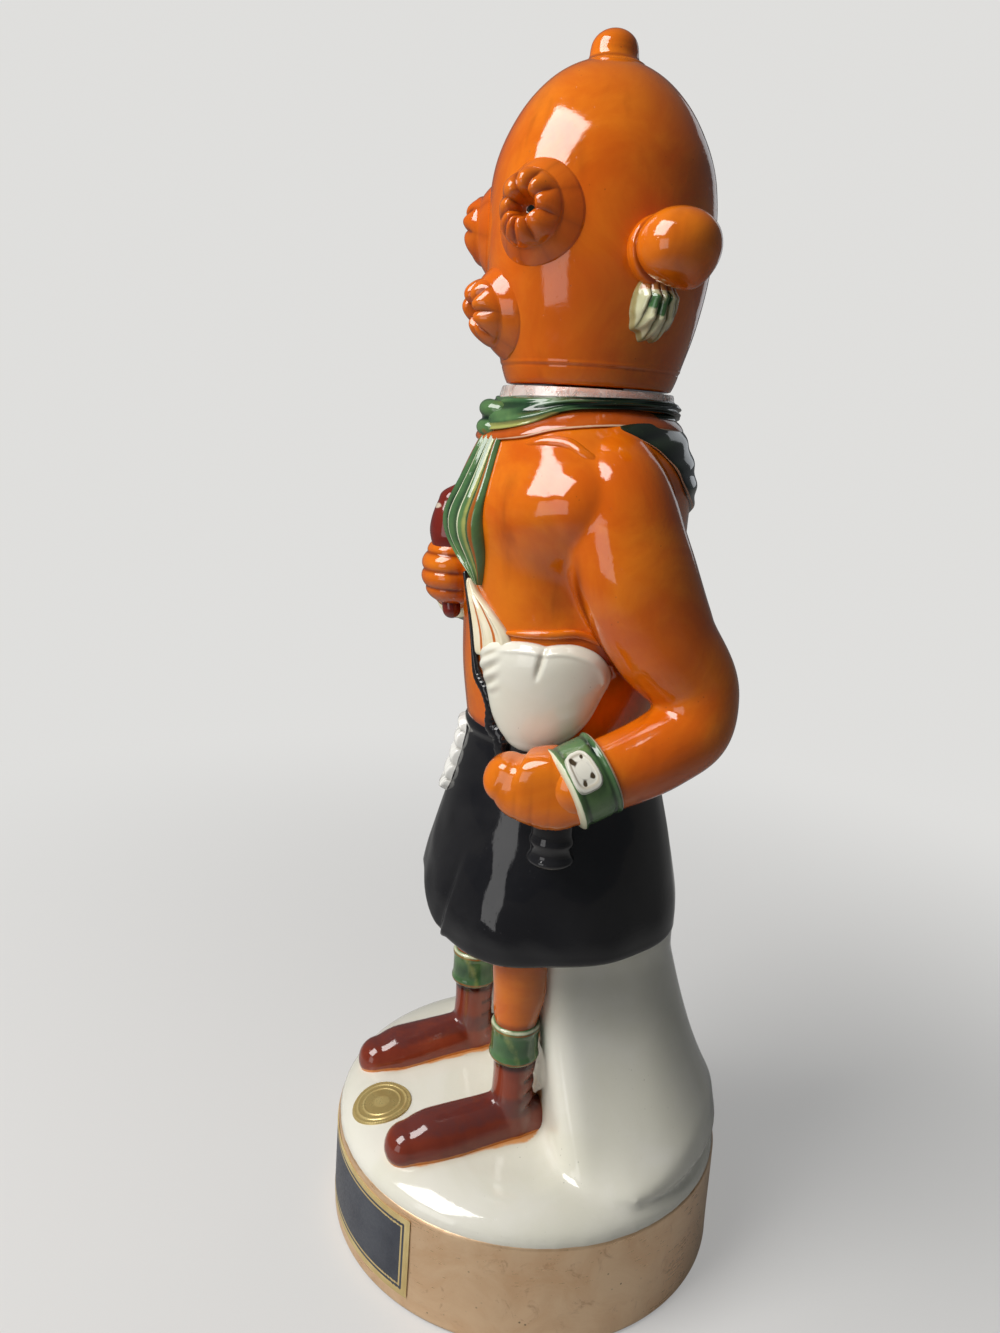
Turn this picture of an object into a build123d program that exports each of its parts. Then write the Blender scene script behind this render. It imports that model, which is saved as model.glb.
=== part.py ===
from build123d import *
from math import cos, radians, sin
import os

# Figural liquor decanter: a glazed clay figure on a round base, whose head is the stopper.
# Millimetres, +Z up. The origin is the centre of the foot circle on the ground.
# The figure faces -Y and its left side is +X.

# Whole decanter
total_height = 343.0
wall = 4.5                 # fired clay wall of the hollow body
overrun = 30.0             # how far a form that trims another runs past it
seat_gap = 0.3             # head rests this far above the neck rim, on the cork
cork_clearance = 0.05      # radial running clearance round the cork

# Base
base_radius = 60.4
base_top_radius = 59.9
band_height = 32.6
foot_recess = 2.5          # unglazed underside stands this far off the ground
foot_width = 8.0
base_floor = 5.0
foot_round = 1.5
mound_rise = 11.6
mound_shoulder_depth = 14.0
mound_shoulder_rise = 8.4
mound_dome_shares = (0.5, 0.8)   # middle of the dome: share of its radius, share of its rise

# Labels stuck to the base
label_thickness = 0.2
label_low = 4.6
label_high = 30.0
label_half_angle = 39.0
sticker_radius = 9.4
sticker_thickness = 0.6
sticker_across = 1.5
sticker_forward = 47.0

# Column behind the legs
column_top = 97.0
column_half_width = 48.0
column_back = 55.0
column_front = 5.5         # its flat front stands this far before the axis
column_front_corner = 9.0
column_back_corner = 38.0
# share of height, half width, back, front, back corner
column_shares = ((0.0, 1.0, 1.0, 0.8, 1.0), (0.22, 0.9, 0.935, 0.85, 0.84),
                 (0.49, 0.75, 0.855, 1.0, 0.71), (0.7, 0.645, 0.8, 1.2, 0.63),
                 (1.0, 0.573, 0.72, 1.4, 0.57))

# Skirt
skirt_top = 163.0
skirt_centre = 1.5         # its axis stands this far behind the origin
skirt_radius = 39.3
skirt_wall = 4.2
skirt_floor = 4.0
# share of height from hem to waist, share of the radius
skirt_shares = ((0.0, 0.955), (0.045, 0.99), (0.15, 1.0), (0.35, 0.947), (0.55, 0.865),
                (0.712, 0.794), (0.865, 0.728), (1.0, 0.688))

# Torso
neck_height = 255.5
neck_radius = 22.2
neck_centre = 2.0          # neck, cork and head stand on this axis, behind the origin
neck_bore_radius = 9.6
neck_bore_depth = 21.0
chest_half_width = 37.0
chest_front = 32.5
chest_back = 31.0
# share of height from waist to neck, half width, front, back
torso_shares = ((0.0, 0.745, 0.80, 0.885), (0.16, 0.82, 0.86, 0.94), (0.35, 0.885, 0.885, 0.98),
                (0.51, 0.94, 0.935, 1.0), (0.65, 0.99, 1.0, 1.0), (0.77, 0.985, 0.90, 0.985),
                (0.865, 0.83, 0.79, 0.92), (0.94, 0.65, 0.67, 0.81))
torso_steps = 15           # level sections the torso is built through
# share of height, share of the chest's inside half width and depth
cavity_shares = ((0.0, 0.76, 0.83), (0.16, 0.83, 0.89), (0.35, 0.88, 0.93), (0.65, 0.93, 0.94))
cavity_neck_share = 0.5    # the cavity's roof, as a share of the chest's half width

# Arms: each place is out from the axis, back from the axis, height
arm_radius = 12.5
elbow_radius = 11.0
wrist_radius = 9.4
shoulder_out = 30.0
shoulder_back = 3.0
shoulder_height = 233.0
left_elbow_out = 41.5
left_elbow_back = 26.5
left_elbow_height = 177.0
left_wrist_out = 41.0
left_wrist_forward = 9.0
left_wrist_height = 158.0
right_elbow_out = 42.0
right_elbow_back = 15.0
right_elbow_height = 186.0
right_wrist_out = 26.0
right_wrist_forward = 24.0
right_wrist_height = 198.5

# Hands and wristbands
left_hand_out = 30.5
left_hand_forward = 25.5
left_hand_height = 154.5
right_hand_out = 13.0
right_hand_forward = 32.0
right_hand_height = 205.0
hand_half_height = 9.3
hand_half_depth = 8.0
hand_shares = ((0.0, 0.86, 0.95), (0.25, 1.0, 1.05), (0.62, 1.0, 1.0), (0.88, 0.85, 0.8), (1.0, 0.5, 0.45))
hand_length = 18.5
wristband_length = 12.0
wristband_radius = 11.7
plaque_width = 9.0
plaque_height = 11.0
plaque_thickness = 1.2
plaque_corner = 2.25

# Rattle in the right hand
rattle_out = 15.5
rattle_forward = 28.5
rattle_height = 220.5
rattle_radius = 8.6
handle_radius = 3.4
handle_low = 186.0

# Bundle end in the left hand
bundle_out = 37.0
bundle_forward = 13.5
bundle_height = 139.5
bundle_radius = 7.0
bundle_half_length = 9.0

# Raised details on the torso and the skirt
scarf_thickness = 3.4
scarf_low = 242.5
scarf_high = 251.8
knot_radius = 5.0
knot_round = 3.0
knot_height = 245.5
knot_forward = 31.5
tail_thickness = 4.2
tail_half_width = 8.0
tail_low = 202.0
# share of half width to each side, share of the way down
tail_shares = ((-0.45, 0.0), (0.5, 0.0), (1.0, 0.45), (0.85, 0.8), (0.35, 1.0), (-0.5, 0.72), (-1.0, 0.45))
drape_thickness = 2.2
drape_low = 222.0
drape_half_width = 24.0
pouch_thickness = 5.0
pouch_half_width = 18.5
pouch_half_height = 13.2
pouch_corner = 3.5
pouch_centre_height = 176.5
pouch_angle = 55.0         # how far round from the front to the left side it faces
# share of half width to its right hand side, share of half height up
pouch_shares = ((-1.0, 0.6), (-0.85, 1.0), (0.85, 1.0), (1.0, 0.55), (0.45, -0.75), (0.1, -1.0),
                (-0.35, -0.95), (-0.7, -0.4))
feather_thickness = 2.4
feather_half_width = 2.6
feather_top = 203.0
feather_low = 163.5
feather_top_across = -6.0
feather_low_across = 16.0
fringe_thickness = 2.6
fringe_top = 162.5
fringe_low = 139.0
fringe_near = -3.0
fringe_far = -19.0

# Legs and boots
leg_across = 21.0
leg_forward = 13.5
leg_top_radius = 9.3
leg_low_radius = 7.4
garter_high = 74.5
garter_low = 60.5
garter_radius = 8.7
ankle_radius = 6.6
sole_height = 41.5
boot_toe_forward = 46.0
boot_heel_forward = 6.0
boot_half_width = 7.2
boot_instep_height = 13.0
# share of the way from heel to toe, half width, height
boot_shares = ((0.0, 0.72, 0.85), (0.25, 0.86, 1.0), (0.55, 0.95, 0.78), (0.82, 1.0, 0.6), (1.0, 0.6, 0.3))

# Cork
cork_depth = 15.0
cork_socket_depth = 8.0
cork_chamfer = 0.8
socket_vent_radius = 6.0

# Head
head_top = 335.6
head_radius = 29.6
head_wall = 4.2
# share of height from neck to crown, share of the radius
head_shares = ((0.0, 0.75), (0.035, 0.785), (0.11, 0.845), (0.2, 0.912), (0.31, 0.97), (0.46, 1.0),
               (0.58, 0.992), (0.68, 0.95), (0.78, 0.84), (0.87, 0.68), (0.945, 0.46), (0.99, 0.2),
               (1.0, 0.0))
head_flare_share = 0.4     # how far its outline leans outwards as it leaves the neck
topknot_radius = 5.9
topknot_root = 5.0
eye_angle = 35.0
eye_height = 295.0
ring_radius = 9.6
ring_hollow_radius = 2.6
ring_rise = 5.2
ring_hollow_rise = 0.9
ring_root = 9.0
mouth_height = 272.6
mouth_rise = 6.4
ear_angle = 96.0
ear_height = 287.5
ear_ball_radius = 9.3
ear_reach = 10.2           # centre of the ball beyond the head's side
ear_flange_radius = 9.0
ear_flange_rise = 2.6
ear_neck_radius = 6.4
pendant_angle = 93.0
pendant_half_width = 6.0
pendant_top = 280.5
pendant_low = 267.5
pendant_thickness = 5.5
strip_thickness = 0.5
strip_half_width = 3.2
head_strip_low = 267.0
body_strip_low = 205.0
neck_seal_thickness = 0.35
neck_seal_low = 252.2


def spot(across, forward, height):
    """Point given by its way across to the left side, forward from the axis, and height."""
    return Vector(across, -forward, height)


def around(angle, height, centre=0.0):
    """Plane that faces outwards, level, at an angle round from the front to the left side."""
    turn = radians(angle)
    outward = (sin(turn), -cos(turn), 0)
    return Plane(origin=(0, centre, height), x_dir=(cos(turn), sin(turn), 0), z_dir=outward)


def upright(angle):
    """Plane through the axis, its x direction outwards at an angle round from the front."""
    turn = radians(angle)
    return Plane(origin=(0, 0, 0), x_dir=(sin(turn), -cos(turn), 0), z_dir=(-cos(turn), -sin(turn), 0))


def oval(centre, half_width, half_depth):
    """Level oval face about a point."""
    with BuildSketch(Plane(origin=centre)) as outline:
        Ellipse(half_width, half_depth)
    return outline.sketch


def disc(centre, direction, half_width, half_depth):
    """Oval face about a point, square to a direction, its long way as level as it can be."""
    level = Vector(0, 0, 1).cross(direction)
    with BuildSketch(Plane(origin=centre, x_dir=level, z_dir=direction)) as outline:
        Ellipse(half_width, half_depth)
    return outline.sketch


def round_face(centre, direction, radius):
    """Circular face about a point, square to a direction."""
    return disc(centre, direction, radius, radius)


def steepness(rows, place, column):
    """Rise of a column of shares with height, taken across one row's neighbours."""
    before = rows[max(place - 1, 0)]
    after = rows[min(place + 1, len(rows) - 1)]
    return (after[column] - before[column]) / (after[0] - before[0])


def eased(rows, up):
    """Shares at a share of the height, on a smooth curve through rows that start with theirs."""
    place = max(i for i in range(len(rows) - 1) if rows[i][0] <= up)
    low, high = rows[place], rows[place + 1]
    gap = high[0] - low[0]
    way = (up - low[0]) / gap
    values = []
    for column in range(1, len(low)):
        lean = gap * steepness(rows, place, column) * way * (1 - way) ** 2
        next_lean = gap * steepness(rows, place + 1, column) * way ** 2 * (way - 1)
        rise = (high[column] - low[column]) * way ** 2 * (3 - 2 * way)
        values.append(low[column] + rise + lean + next_lean)
    return values


neck_shares = (1.0, neck_radius / chest_half_width, (neck_radius - neck_centre) / chest_front,
               (neck_radius + neck_centre) / chest_back)


def torso_solid(growth):
    """Torso built through level ovals from waist to neck, grown outwards by a thickness."""
    sections = []
    for step in range(torso_steps + 1):
        up = step / torso_steps
        wide, front, back = eased(torso_shares + (neck_shares,), up)
        near = -chest_front * front - growth
        far = chest_back * back + growth
        centre = (0, (near + far) / 2, skirt_top + up * (neck_height - skirt_top))
        sections.append(oval(centre, chest_half_width * wide + growth, (far - near) / 2))
    with BuildPart() as form:
        loft(sections=sections, ruled=True)
    return form.part


def skirt_point(up, wide, growth):
    """Point of the skirt's outline, as radius and height, grown outwards by a thickness."""
    return (skirt_radius * wide + growth, column_top + up * (skirt_top - column_top))


def head_point(up, wide, growth):
    """Point of the head's outline, as radius and height, grown outwards by a thickness."""
    low = neck_height + seat_gap
    return (max(head_radius * wide + growth, 0) if wide else 0, low + up * (head_top - low + growth))


def column_section(up, wide, back, front, corner, inset):
    """Level section of the column, drawn in by a wall thickness."""
    half = column_half_width * wide - inset
    near = -column_front * front + inset
    far = column_back * back - inset
    height = band_height + up * (column_top - band_height)
    with BuildSketch(Plane(origin=(0, (near + far) / 2, height))) as outline:
        Rectangle(2 * half, far - near)
        fillet(outline.vertices().group_by(Axis.Y)[0], column_front_corner - inset)
        fillet(outline.vertices().group_by(Axis.Y)[-1], column_back_corner * corner - inset)
    return outline.sketch


def limb_solid(shoulder, elbow, wrist):
    """Bent arm: a round shoulder and elbow joined by a tapering upper arm and forearm."""
    upper = (elbow - shoulder).normalized()
    lower = (wrist - elbow).normalized()
    with BuildPart() as form:
        with Locations(shoulder):
            Sphere(arm_radius)
        with Locations(elbow):
            Sphere(elbow_radius)
        loft(sections=[round_face(shoulder, upper, arm_radius), round_face(elbow, upper, elbow_radius)])
        loft(sections=[round_face(elbow, lower, elbow_radius), round_face(wrist, lower, wrist_radius)])
    return form.part


def hand_sections(wrist, palm):
    """Oval sections of a closed hand from its wrist towards its knuckles."""
    reach = (palm - wrist).normalized()
    faces = []
    for along, high, deep in hand_shares:
        place = wrist + reach * (hand_length * along)
        faces.append(disc(place, reach, hand_half_depth * deep, hand_half_height * high))
    return faces


# Base band: gold ring with a floor and a foot ring
with BuildPart() as base_band:
    with BuildSketch(Plane.XZ):
        with BuildLine():
            Polyline(
                (base_radius - foot_width, 0),
                (base_radius, 0),
                (base_top_radius, band_height),
                (base_top_radius - wall, band_height),
                (base_top_radius - wall, foot_recess + base_floor),
                (0, foot_recess + base_floor),
                (0, foot_recess),
                (base_radius - foot_width, foot_recess),
                close=True,
            )
        make_face()
    revolve(axis=Axis.Z)
    foot_edges = base_band.edges().filter_by(GeomType.CIRCLE).group_by(Axis.Z)[0]
    fillet(foot_edges.sort_by(SortBy.RADIUS)[-1], foot_round)

# Column: hollow clay behind the legs, which spreads into the base
with BuildPart() as column_form:
    loft(sections=[column_section(*shares, 0) for shares in column_shares])

with BuildPart() as rear_column:
    add(column_form.part)
    loft(sections=[column_section(*shares, wall) for shares in column_shares], mode=Mode.SUBTRACT)


def mound_solid(growth):
    """Domed solid on the band: an elliptic shoulder, then a shallow dome, grown by a thickness."""
    edge = base_top_radius + min(growth, 0)
    inset = edge - mound_shoulder_depth
    shoulder = mound_shoulder_rise + growth
    top = mound_rise + growth
    out_share, up_share = mound_dome_shares
    with BuildPart() as form:
        with BuildSketch(Plane.XZ):
            with BuildLine():
                EllipticalCenterArc((inset, band_height), mound_shoulder_depth, shoulder)
                ThreePointArc(
                    (inset, band_height + shoulder),
                    (inset * out_share, band_height + shoulder + (top - shoulder) * up_share),
                    (0, band_height + top),
                )
                Polyline((0, band_height + top), (0, band_height), (edge, band_height))
            make_face()
        revolve(axis=Axis.Z)
    return form.part


# Mound: domed cream top of the base round the column's foot
mound_form = mound_solid(0)
with BuildPart() as base_mound:
    add(mound_form)
    add(mound_solid(-wall), mode=Mode.SUBTRACT)
    add(column_form.part, mode=Mode.SUBTRACT)

# Skirt: black hollow shell with a floor that is open over the column
skirt_axis = Axis((0, skirt_centre, 0), (0, 0, 1))
skirt_plane = Plane(origin=(0, skirt_centre, 0), x_dir=(1, 0, 0), z_dir=(0, -1, 0))


def skirt_solid(growth):
    """Solid of revolution inside the skirt's outline, grown outwards by a thickness."""
    points = [skirt_point(up, wide, growth) for up, wide in skirt_shares]
    with BuildPart() as form:
        with BuildSketch(skirt_plane):
            with BuildLine():
                Spline(*points)
                Polyline(points[-1], (0, skirt_top), (0, column_top), points[0])
            make_face()
        revolve(axis=skirt_axis)
    return form.part


with BuildPart() as skirt:
    add(skirt_solid(0))
    with BuildSketch(skirt_plane):
        with BuildLine():
            inner = [skirt_point(up, wide, -skirt_wall) for up, wide in skirt_shares[2:]]
            floor_top = column_top + skirt_floor
            Spline(*inner)
            Polyline(inner[-1], (0, skirt_top), (0, floor_top), (inner[0][0], floor_top), inner[0])
        make_face()
    revolve(axis=skirt_axis, mode=Mode.SUBTRACT)
    with BuildSketch(Plane.XY.offset(column_top)):
        add(column_section(*column_shares[-1], wall).moved(Location((0, 0, -column_top))))
    extrude(amount=skirt_floor, mode=Mode.SUBTRACT)

# Torso: orange hollow shell whose neck takes the cork
torso_form = torso_solid(0)
with BuildPart() as torso_casting:
    add(torso_form)
    hollow = []
    torso_rise = neck_height - skirt_top
    cavity_middle = (chest_back - chest_front) / 2
    for up, wide, deep in cavity_shares:
        middle = (0, cavity_middle + up * neck_centre, skirt_top + up * torso_rise)
        reach = (chest_front + chest_back) / 2 * deep - wall
        hollow.append(oval(middle, chest_half_width * wide - wall, reach))
    roof = chest_half_width * cavity_neck_share
    hollow.append(oval((0, neck_centre, neck_height - neck_bore_depth), roof, roof))
    loft(sections=hollow, mode=Mode.SUBTRACT)
    with BuildSketch(Plane(origin=(0, neck_centre, neck_height))):
        Circle(neck_bore_radius)
    extrude(amount=-neck_bore_depth, mode=Mode.SUBTRACT)

# The casting is luted together at the bottom of the bore: chest below, neck and shoulders above
neck_joint = Plane.XY.offset(neck_height - neck_bore_depth)
with BuildPart() as torso:
    add(torso_casting.part)
    split(bisect_by=neck_joint, keep=Keep.BOTTOM)

with BuildPart() as neck:
    add(torso_casting.part)
    split(bisect_by=neck_joint, keep=Keep.TOP)

# Arms
left_shoulder = spot(shoulder_out, -shoulder_back, shoulder_height)
left_elbow = spot(left_elbow_out, -left_elbow_back, left_elbow_height)
left_wrist = spot(left_wrist_out, left_wrist_forward, left_wrist_height)
right_shoulder = spot(-shoulder_out, -shoulder_back, shoulder_height)
right_elbow = spot(-right_elbow_out, -right_elbow_back, right_elbow_height)
right_wrist = spot(-right_wrist_out, right_wrist_forward, right_wrist_height)

with BuildPart() as left_arm:
    add(limb_solid(left_shoulder, left_elbow, left_wrist))
    add(torso_form, mode=Mode.SUBTRACT)
    add(skirt_solid(0), mode=Mode.SUBTRACT)

with BuildPart() as right_arm:
    add(limb_solid(right_shoulder, right_elbow, right_wrist))
    add(torso_form, mode=Mode.SUBTRACT)

# Hands
left_palm = spot(left_hand_out, left_hand_forward, left_hand_height)
right_palm = spot(-right_hand_out, right_hand_forward, right_hand_height)

with BuildPart() as left_hand:
    loft(sections=hand_sections(left_wrist, left_palm))
    add(torso_form, mode=Mode.SUBTRACT)
    add(skirt_solid(0), mode=Mode.SUBTRACT)
    add(left_arm.part, mode=Mode.SUBTRACT)

with BuildPart() as right_hand:
    loft(sections=hand_sections(right_wrist, right_palm))
    add(torso_form, mode=Mode.SUBTRACT)
    add(right_arm.part, mode=Mode.SUBTRACT)


def wristband_solid(elbow, wrist):
    """Plain drum round the forearm, ending at the wrist."""
    along = (wrist - elbow).normalized()
    with BuildPart() as form:
        with BuildSketch(Plane(origin=wrist - along * wristband_length, z_dir=along)):
            Circle(wristband_radius)
        extrude(amount=wristband_length)
        fillet(form.edges(), wristband_radius - wrist_radius - plaque_thickness)
    return form.part


# Wristbands and the cream plaque on the left one
with BuildPart() as left_wristband:
    add(wristband_solid(left_elbow, left_wrist))
    add(left_arm.part, mode=Mode.SUBTRACT)
    add(left_hand.part, mode=Mode.SUBTRACT)
    add(torso_form, mode=Mode.SUBTRACT)
    add(skirt_solid(0), mode=Mode.SUBTRACT)

with BuildPart() as right_wristband:
    add(wristband_solid(right_elbow, right_wrist))
    add(right_arm.part, mode=Mode.SUBTRACT)
    add(right_hand.part, mode=Mode.SUBTRACT)
    add(torso_form, mode=Mode.SUBTRACT)

left_along = (left_wrist - left_elbow).normalized()
plaque_middle = left_wrist - left_along * (wristband_length / 2)
plaque_out = left_along.cross(Vector(0, 0, 1)).normalized()
with BuildPart() as wristband_plaque:
    with BuildSketch(Plane(origin=plaque_middle, x_dir=left_along, z_dir=-plaque_out)) as plaque_face:
        Rectangle(plaque_width, plaque_height)
        fillet(plaque_face.vertices(), plaque_corner)
    extrude(amount=wristband_radius + plaque_thickness)
    add(wristband_solid(left_elbow, left_wrist), mode=Mode.SUBTRACT)

# Rattle: pear-shaped head above the fist and a handle through it
rattle_centre = spot(-rattle_out, rattle_forward, rattle_height)
with BuildPart() as rattle_head:
    with BuildSketch(Plane(origin=rattle_centre, x_dir=(1, 0, 0), z_dir=(0, -1, 0))):
        with BuildLine():
            CenterArc((0, 0), rattle_radius, -90, 180)
            Line((0, rattle_radius), (0, -rattle_radius))
        make_face()
    revolve(axis=Axis(rattle_centre, (0, 0, 1)))
    add(torso_form, mode=Mode.SUBTRACT)
    add(right_hand.part, mode=Mode.SUBTRACT)
    add(right_arm.part, mode=Mode.SUBTRACT)
    add(right_wristband.part, mode=Mode.SUBTRACT)

handle_foot = spot(-right_hand_out, right_hand_forward - hand_half_depth / 2, handle_low)
with BuildPart() as rattle_handle:
    with BuildSketch(Plane(origin=handle_foot)):
        Circle(handle_radius)
    extrude(amount=right_hand_height - handle_low)
    fillet(rattle_handle.edges().group_by(Axis.Z)[0], handle_radius / 2)
    add(torso_form, mode=Mode.SUBTRACT)
    add(right_hand.part, mode=Mode.SUBTRACT)
    add(right_arm.part, mode=Mode.SUBTRACT)
    add(right_wristband.part, mode=Mode.SUBTRACT)
    add(rattle_head.part, mode=Mode.SUBTRACT)


def torso_shell(thickness):
    """Skin of a thickness over the torso, as the stock that raised details are cut from."""
    with BuildPart() as skin:
        add(torso_solid(thickness))
        add(torso_form, mode=Mode.SUBTRACT)
    return skin.part


# Scarf: collar, knot, tail and the drape over the back
with BuildPart() as scarf_collar:
    with BuildSketch(Plane.XY.offset(scarf_low)):
        Circle(base_radius)
    extrude(amount=scarf_high - scarf_low)
    add(torso_shell(scarf_thickness), mode=Mode.INTERSECT)
    add(left_arm.part, mode=Mode.SUBTRACT)
    add(right_arm.part, mode=Mode.SUBTRACT)

with BuildPart() as scarf_knot:
    with BuildSketch(Plane(origin=(0, 0, knot_height), x_dir=(1, 0, 0), z_dir=(0, -1, 0))):
        Circle(knot_radius)
    extrude(amount=knot_forward)
    fillet(scarf_knot.edges().group_by(Axis.Y)[0], knot_round)
    add(torso_form, mode=Mode.SUBTRACT)
    add(scarf_collar.part, mode=Mode.SUBTRACT)

with BuildPart() as scarf_tail:
    with BuildSketch(Plane(origin=(0, 0, scarf_low), x_dir=(1, 0, 0), z_dir=(0, -1, 0))):
        with BuildLine():
            drop = scarf_low - tail_low
            Polyline(*[(tail_half_width * side, -drop * down) for side, down in tail_shares], close=True)
        make_face()
    extrude(amount=chest_front + overrun)
    add(torso_shell(tail_thickness), mode=Mode.INTERSECT)
    add(scarf_knot.part, mode=Mode.SUBTRACT)
    add(right_hand.part, mode=Mode.SUBTRACT)
    add(rattle_head.part, mode=Mode.SUBTRACT)
    add(rattle_handle.part, mode=Mode.SUBTRACT)

with BuildPart() as scarf_drape:
    with BuildSketch(Plane(origin=(0, 0, scarf_low), x_dir=(-1, 0, 0), z_dir=(0, 1, 0))):
        with BuildLine():
            Polyline((-drape_half_width, 0), (0, drape_low - scarf_low), (drape_half_width, 0), close=True)
        make_face()
    extrude(amount=chest_back + overrun)
    add(torso_shell(drape_thickness), mode=Mode.INTERSECT)
    add(left_arm.part, mode=Mode.SUBTRACT)
    add(right_arm.part, mode=Mode.SUBTRACT)

# Pouch at the left hip, and the black feather beside it
with BuildPart() as waist_pouch:
    with BuildSketch(around(pouch_angle, pouch_centre_height)) as pouch_face:
        with BuildLine():
            Polyline(*[(pouch_half_width * side, pouch_half_height * up) for side, up in pouch_shares],
                     close=True)
        make_face()
        fillet(pouch_face.vertices(), pouch_corner)
    extrude(amount=chest_half_width + overrun)
    add(torso_shell(pouch_thickness), mode=Mode.INTERSECT)
    add(left_arm.part, mode=Mode.SUBTRACT)
    add(left_hand.part, mode=Mode.SUBTRACT)
    add(left_wristband.part, mode=Mode.SUBTRACT)

with BuildPart() as chest_feather:
    with BuildSketch(Plane.XZ):
        with BuildLine():
            Polyline(
                (feather_top_across, feather_top),
                (feather_low_across + feather_half_width, feather_low),
                (feather_low_across - feather_half_width, feather_low),
                close=True,
            )
        make_face()
    extrude(amount=chest_front + overrun)
    add(torso_shell(feather_thickness), mode=Mode.INTERSECT)
    add(waist_pouch.part, mode=Mode.SUBTRACT)
    add(scarf_tail.part, mode=Mode.SUBTRACT)
    add(left_hand.part, mode=Mode.SUBTRACT)
    add(rattle_handle.part, mode=Mode.SUBTRACT)

# White fringe on the front of the skirt
with BuildPart() as skirt_fringe:
    with BuildSketch(Plane.XZ):
        with BuildLine():
            Polyline(
                (fringe_near, fringe_top),
                (fringe_near, fringe_low),
                (fringe_far, fringe_low),
                (fringe_far, fringe_top),
                close=True,
            )
        make_face()
    extrude(amount=skirt_radius + overrun)
    add(skirt_solid(fringe_thickness), mode=Mode.INTERSECT)
    add(skirt_solid(0), mode=Mode.SUBTRACT)

# Dark bundle end that the left hand holds against the skirt
bundle_centre = spot(bundle_out, bundle_forward, bundle_height)
with BuildPart() as held_bundle:
    with BuildSketch(Plane(origin=bundle_centre - Vector(0, 0, bundle_half_length))):
        Circle(bundle_radius)
    extrude(amount=2 * bundle_half_length)
    fillet(held_bundle.edges().group_by(Axis.Z)[0], bundle_radius / 2)
    add(skirt_solid(0), mode=Mode.SUBTRACT)
    add(left_hand.part, mode=Mode.SUBTRACT)
    add(left_wristband.part, mode=Mode.SUBTRACT)
    add(left_arm.part, mode=Mode.SUBTRACT)


def leg_solid(side):
    """Bare leg from the skirt's floor down to the garter."""
    with BuildPart() as form:
        top = oval(spot(side * leg_across, leg_forward, column_top), leg_top_radius, leg_top_radius)
        low = oval(spot(side * leg_across, leg_forward, garter_high), leg_low_radius, leg_low_radius)
        loft(sections=[low, top])
        add(column_form.part, mode=Mode.SUBTRACT)
    return form.part


def garter_solid(side):
    """Drum of the garter under the bare leg."""
    with BuildPart() as form:
        with BuildSketch(Plane(origin=spot(side * leg_across, leg_forward, garter_low))):
            Circle(garter_radius)
        extrude(amount=garter_high - garter_low)
        fillet(form.edges().filter_by(GeomType.CIRCLE), garter_radius - leg_low_radius)
        add(column_form.part, mode=Mode.SUBTRACT)
    return form.part


def boot_solid(side):
    """Boot that stands on the mound, with its shaft up to the garter."""
    length = boot_toe_forward - boot_heel_forward
    with BuildPart() as form:
        sections = []
        for along, wide, high in boot_shares:
            place = spot(side * leg_across, boot_heel_forward + length * along, sole_height)
            sections.append(disc(place, Vector(0, -1, 0), boot_half_width * wide, boot_instep_height * high))
        loft(sections=sections)
        with BuildSketch(Plane(origin=spot(side * leg_across, leg_forward, sole_height))):
            Circle(ankle_radius)
        extrude(amount=garter_low - sole_height)
        split(bisect_by=Plane.XY.offset(band_height), keep=Keep.TOP)
        add(mound_form, mode=Mode.SUBTRACT)
        add(column_form.part, mode=Mode.SUBTRACT)
    return form.part


# Cork
with BuildPart() as cork_stopper:
    with BuildSketch(Plane(origin=(0, neck_centre, neck_height - cork_depth))):
        Circle(neck_bore_radius - cork_clearance)
    extrude(amount=cork_depth + cork_socket_depth)
    chamfer(cork_stopper.edges().group_by(Axis.Z)[0], cork_chamfer)

# Head
head_axis = Axis((0, neck_centre, 0), (0, 0, 1))
head_plane = Plane(origin=(0, neck_centre, 0), x_dir=(1, 0, 0), z_dir=(0, -1, 0))


def head_solid(growth):
    """Solid of revolution inside the head's outline, grown outwards by a thickness."""
    points = [head_point(up, wide, growth) for up, wide in head_shares]
    with BuildPart() as form:
        with BuildSketch(head_plane):
            with BuildLine():
                Spline(*points, tangents=((head_flare_share, 1), (-1, 0)))
                Polyline(points[-1], (0, points[0][1]), points[0])
            make_face()
        revolve(axis=head_axis)
    return form.part


head_form = head_solid(0)
head_low = neck_height + seat_gap
socket_top = neck_height + cork_socket_depth + seat_gap
with BuildPart() as head_shell:
    add(head_form)
    with BuildSketch(head_plane):
        with BuildLine():
            lining = [(head_radius * wide - head_wall, head_low + up * (head_top - head_wall - head_low))
                      for up, wide in head_shares[3:-1]]
            Spline(*lining)
            Polyline(lining[-1], (0, lining[-1][1]), (0, lining[0][1]), lining[0])
        make_face()
    revolve(axis=head_axis, mode=Mode.SUBTRACT)
    with BuildSketch(Plane(origin=(0, neck_centre, head_low))):
        Circle(neck_bore_radius)
    extrude(amount=socket_top - head_low, mode=Mode.SUBTRACT)
    with BuildSketch(Plane(origin=(0, neck_centre, head_low))):
        Circle(socket_vent_radius)
    extrude(amount=head_radius, mode=Mode.SUBTRACT)

with BuildPart() as topknot:
    with BuildSketch(head_plane):
        with BuildLine():
            shoulder = total_height - topknot_radius
            CenterArc((0, shoulder), topknot_radius, 0, 90)
            foot = shoulder - topknot_root
            Polyline((0, total_height), (0, foot), (topknot_radius, foot), (topknot_radius, shoulder))
        make_face()
    revolve(axis=head_axis)
    add(head_form, mode=Mode.SUBTRACT)


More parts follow.
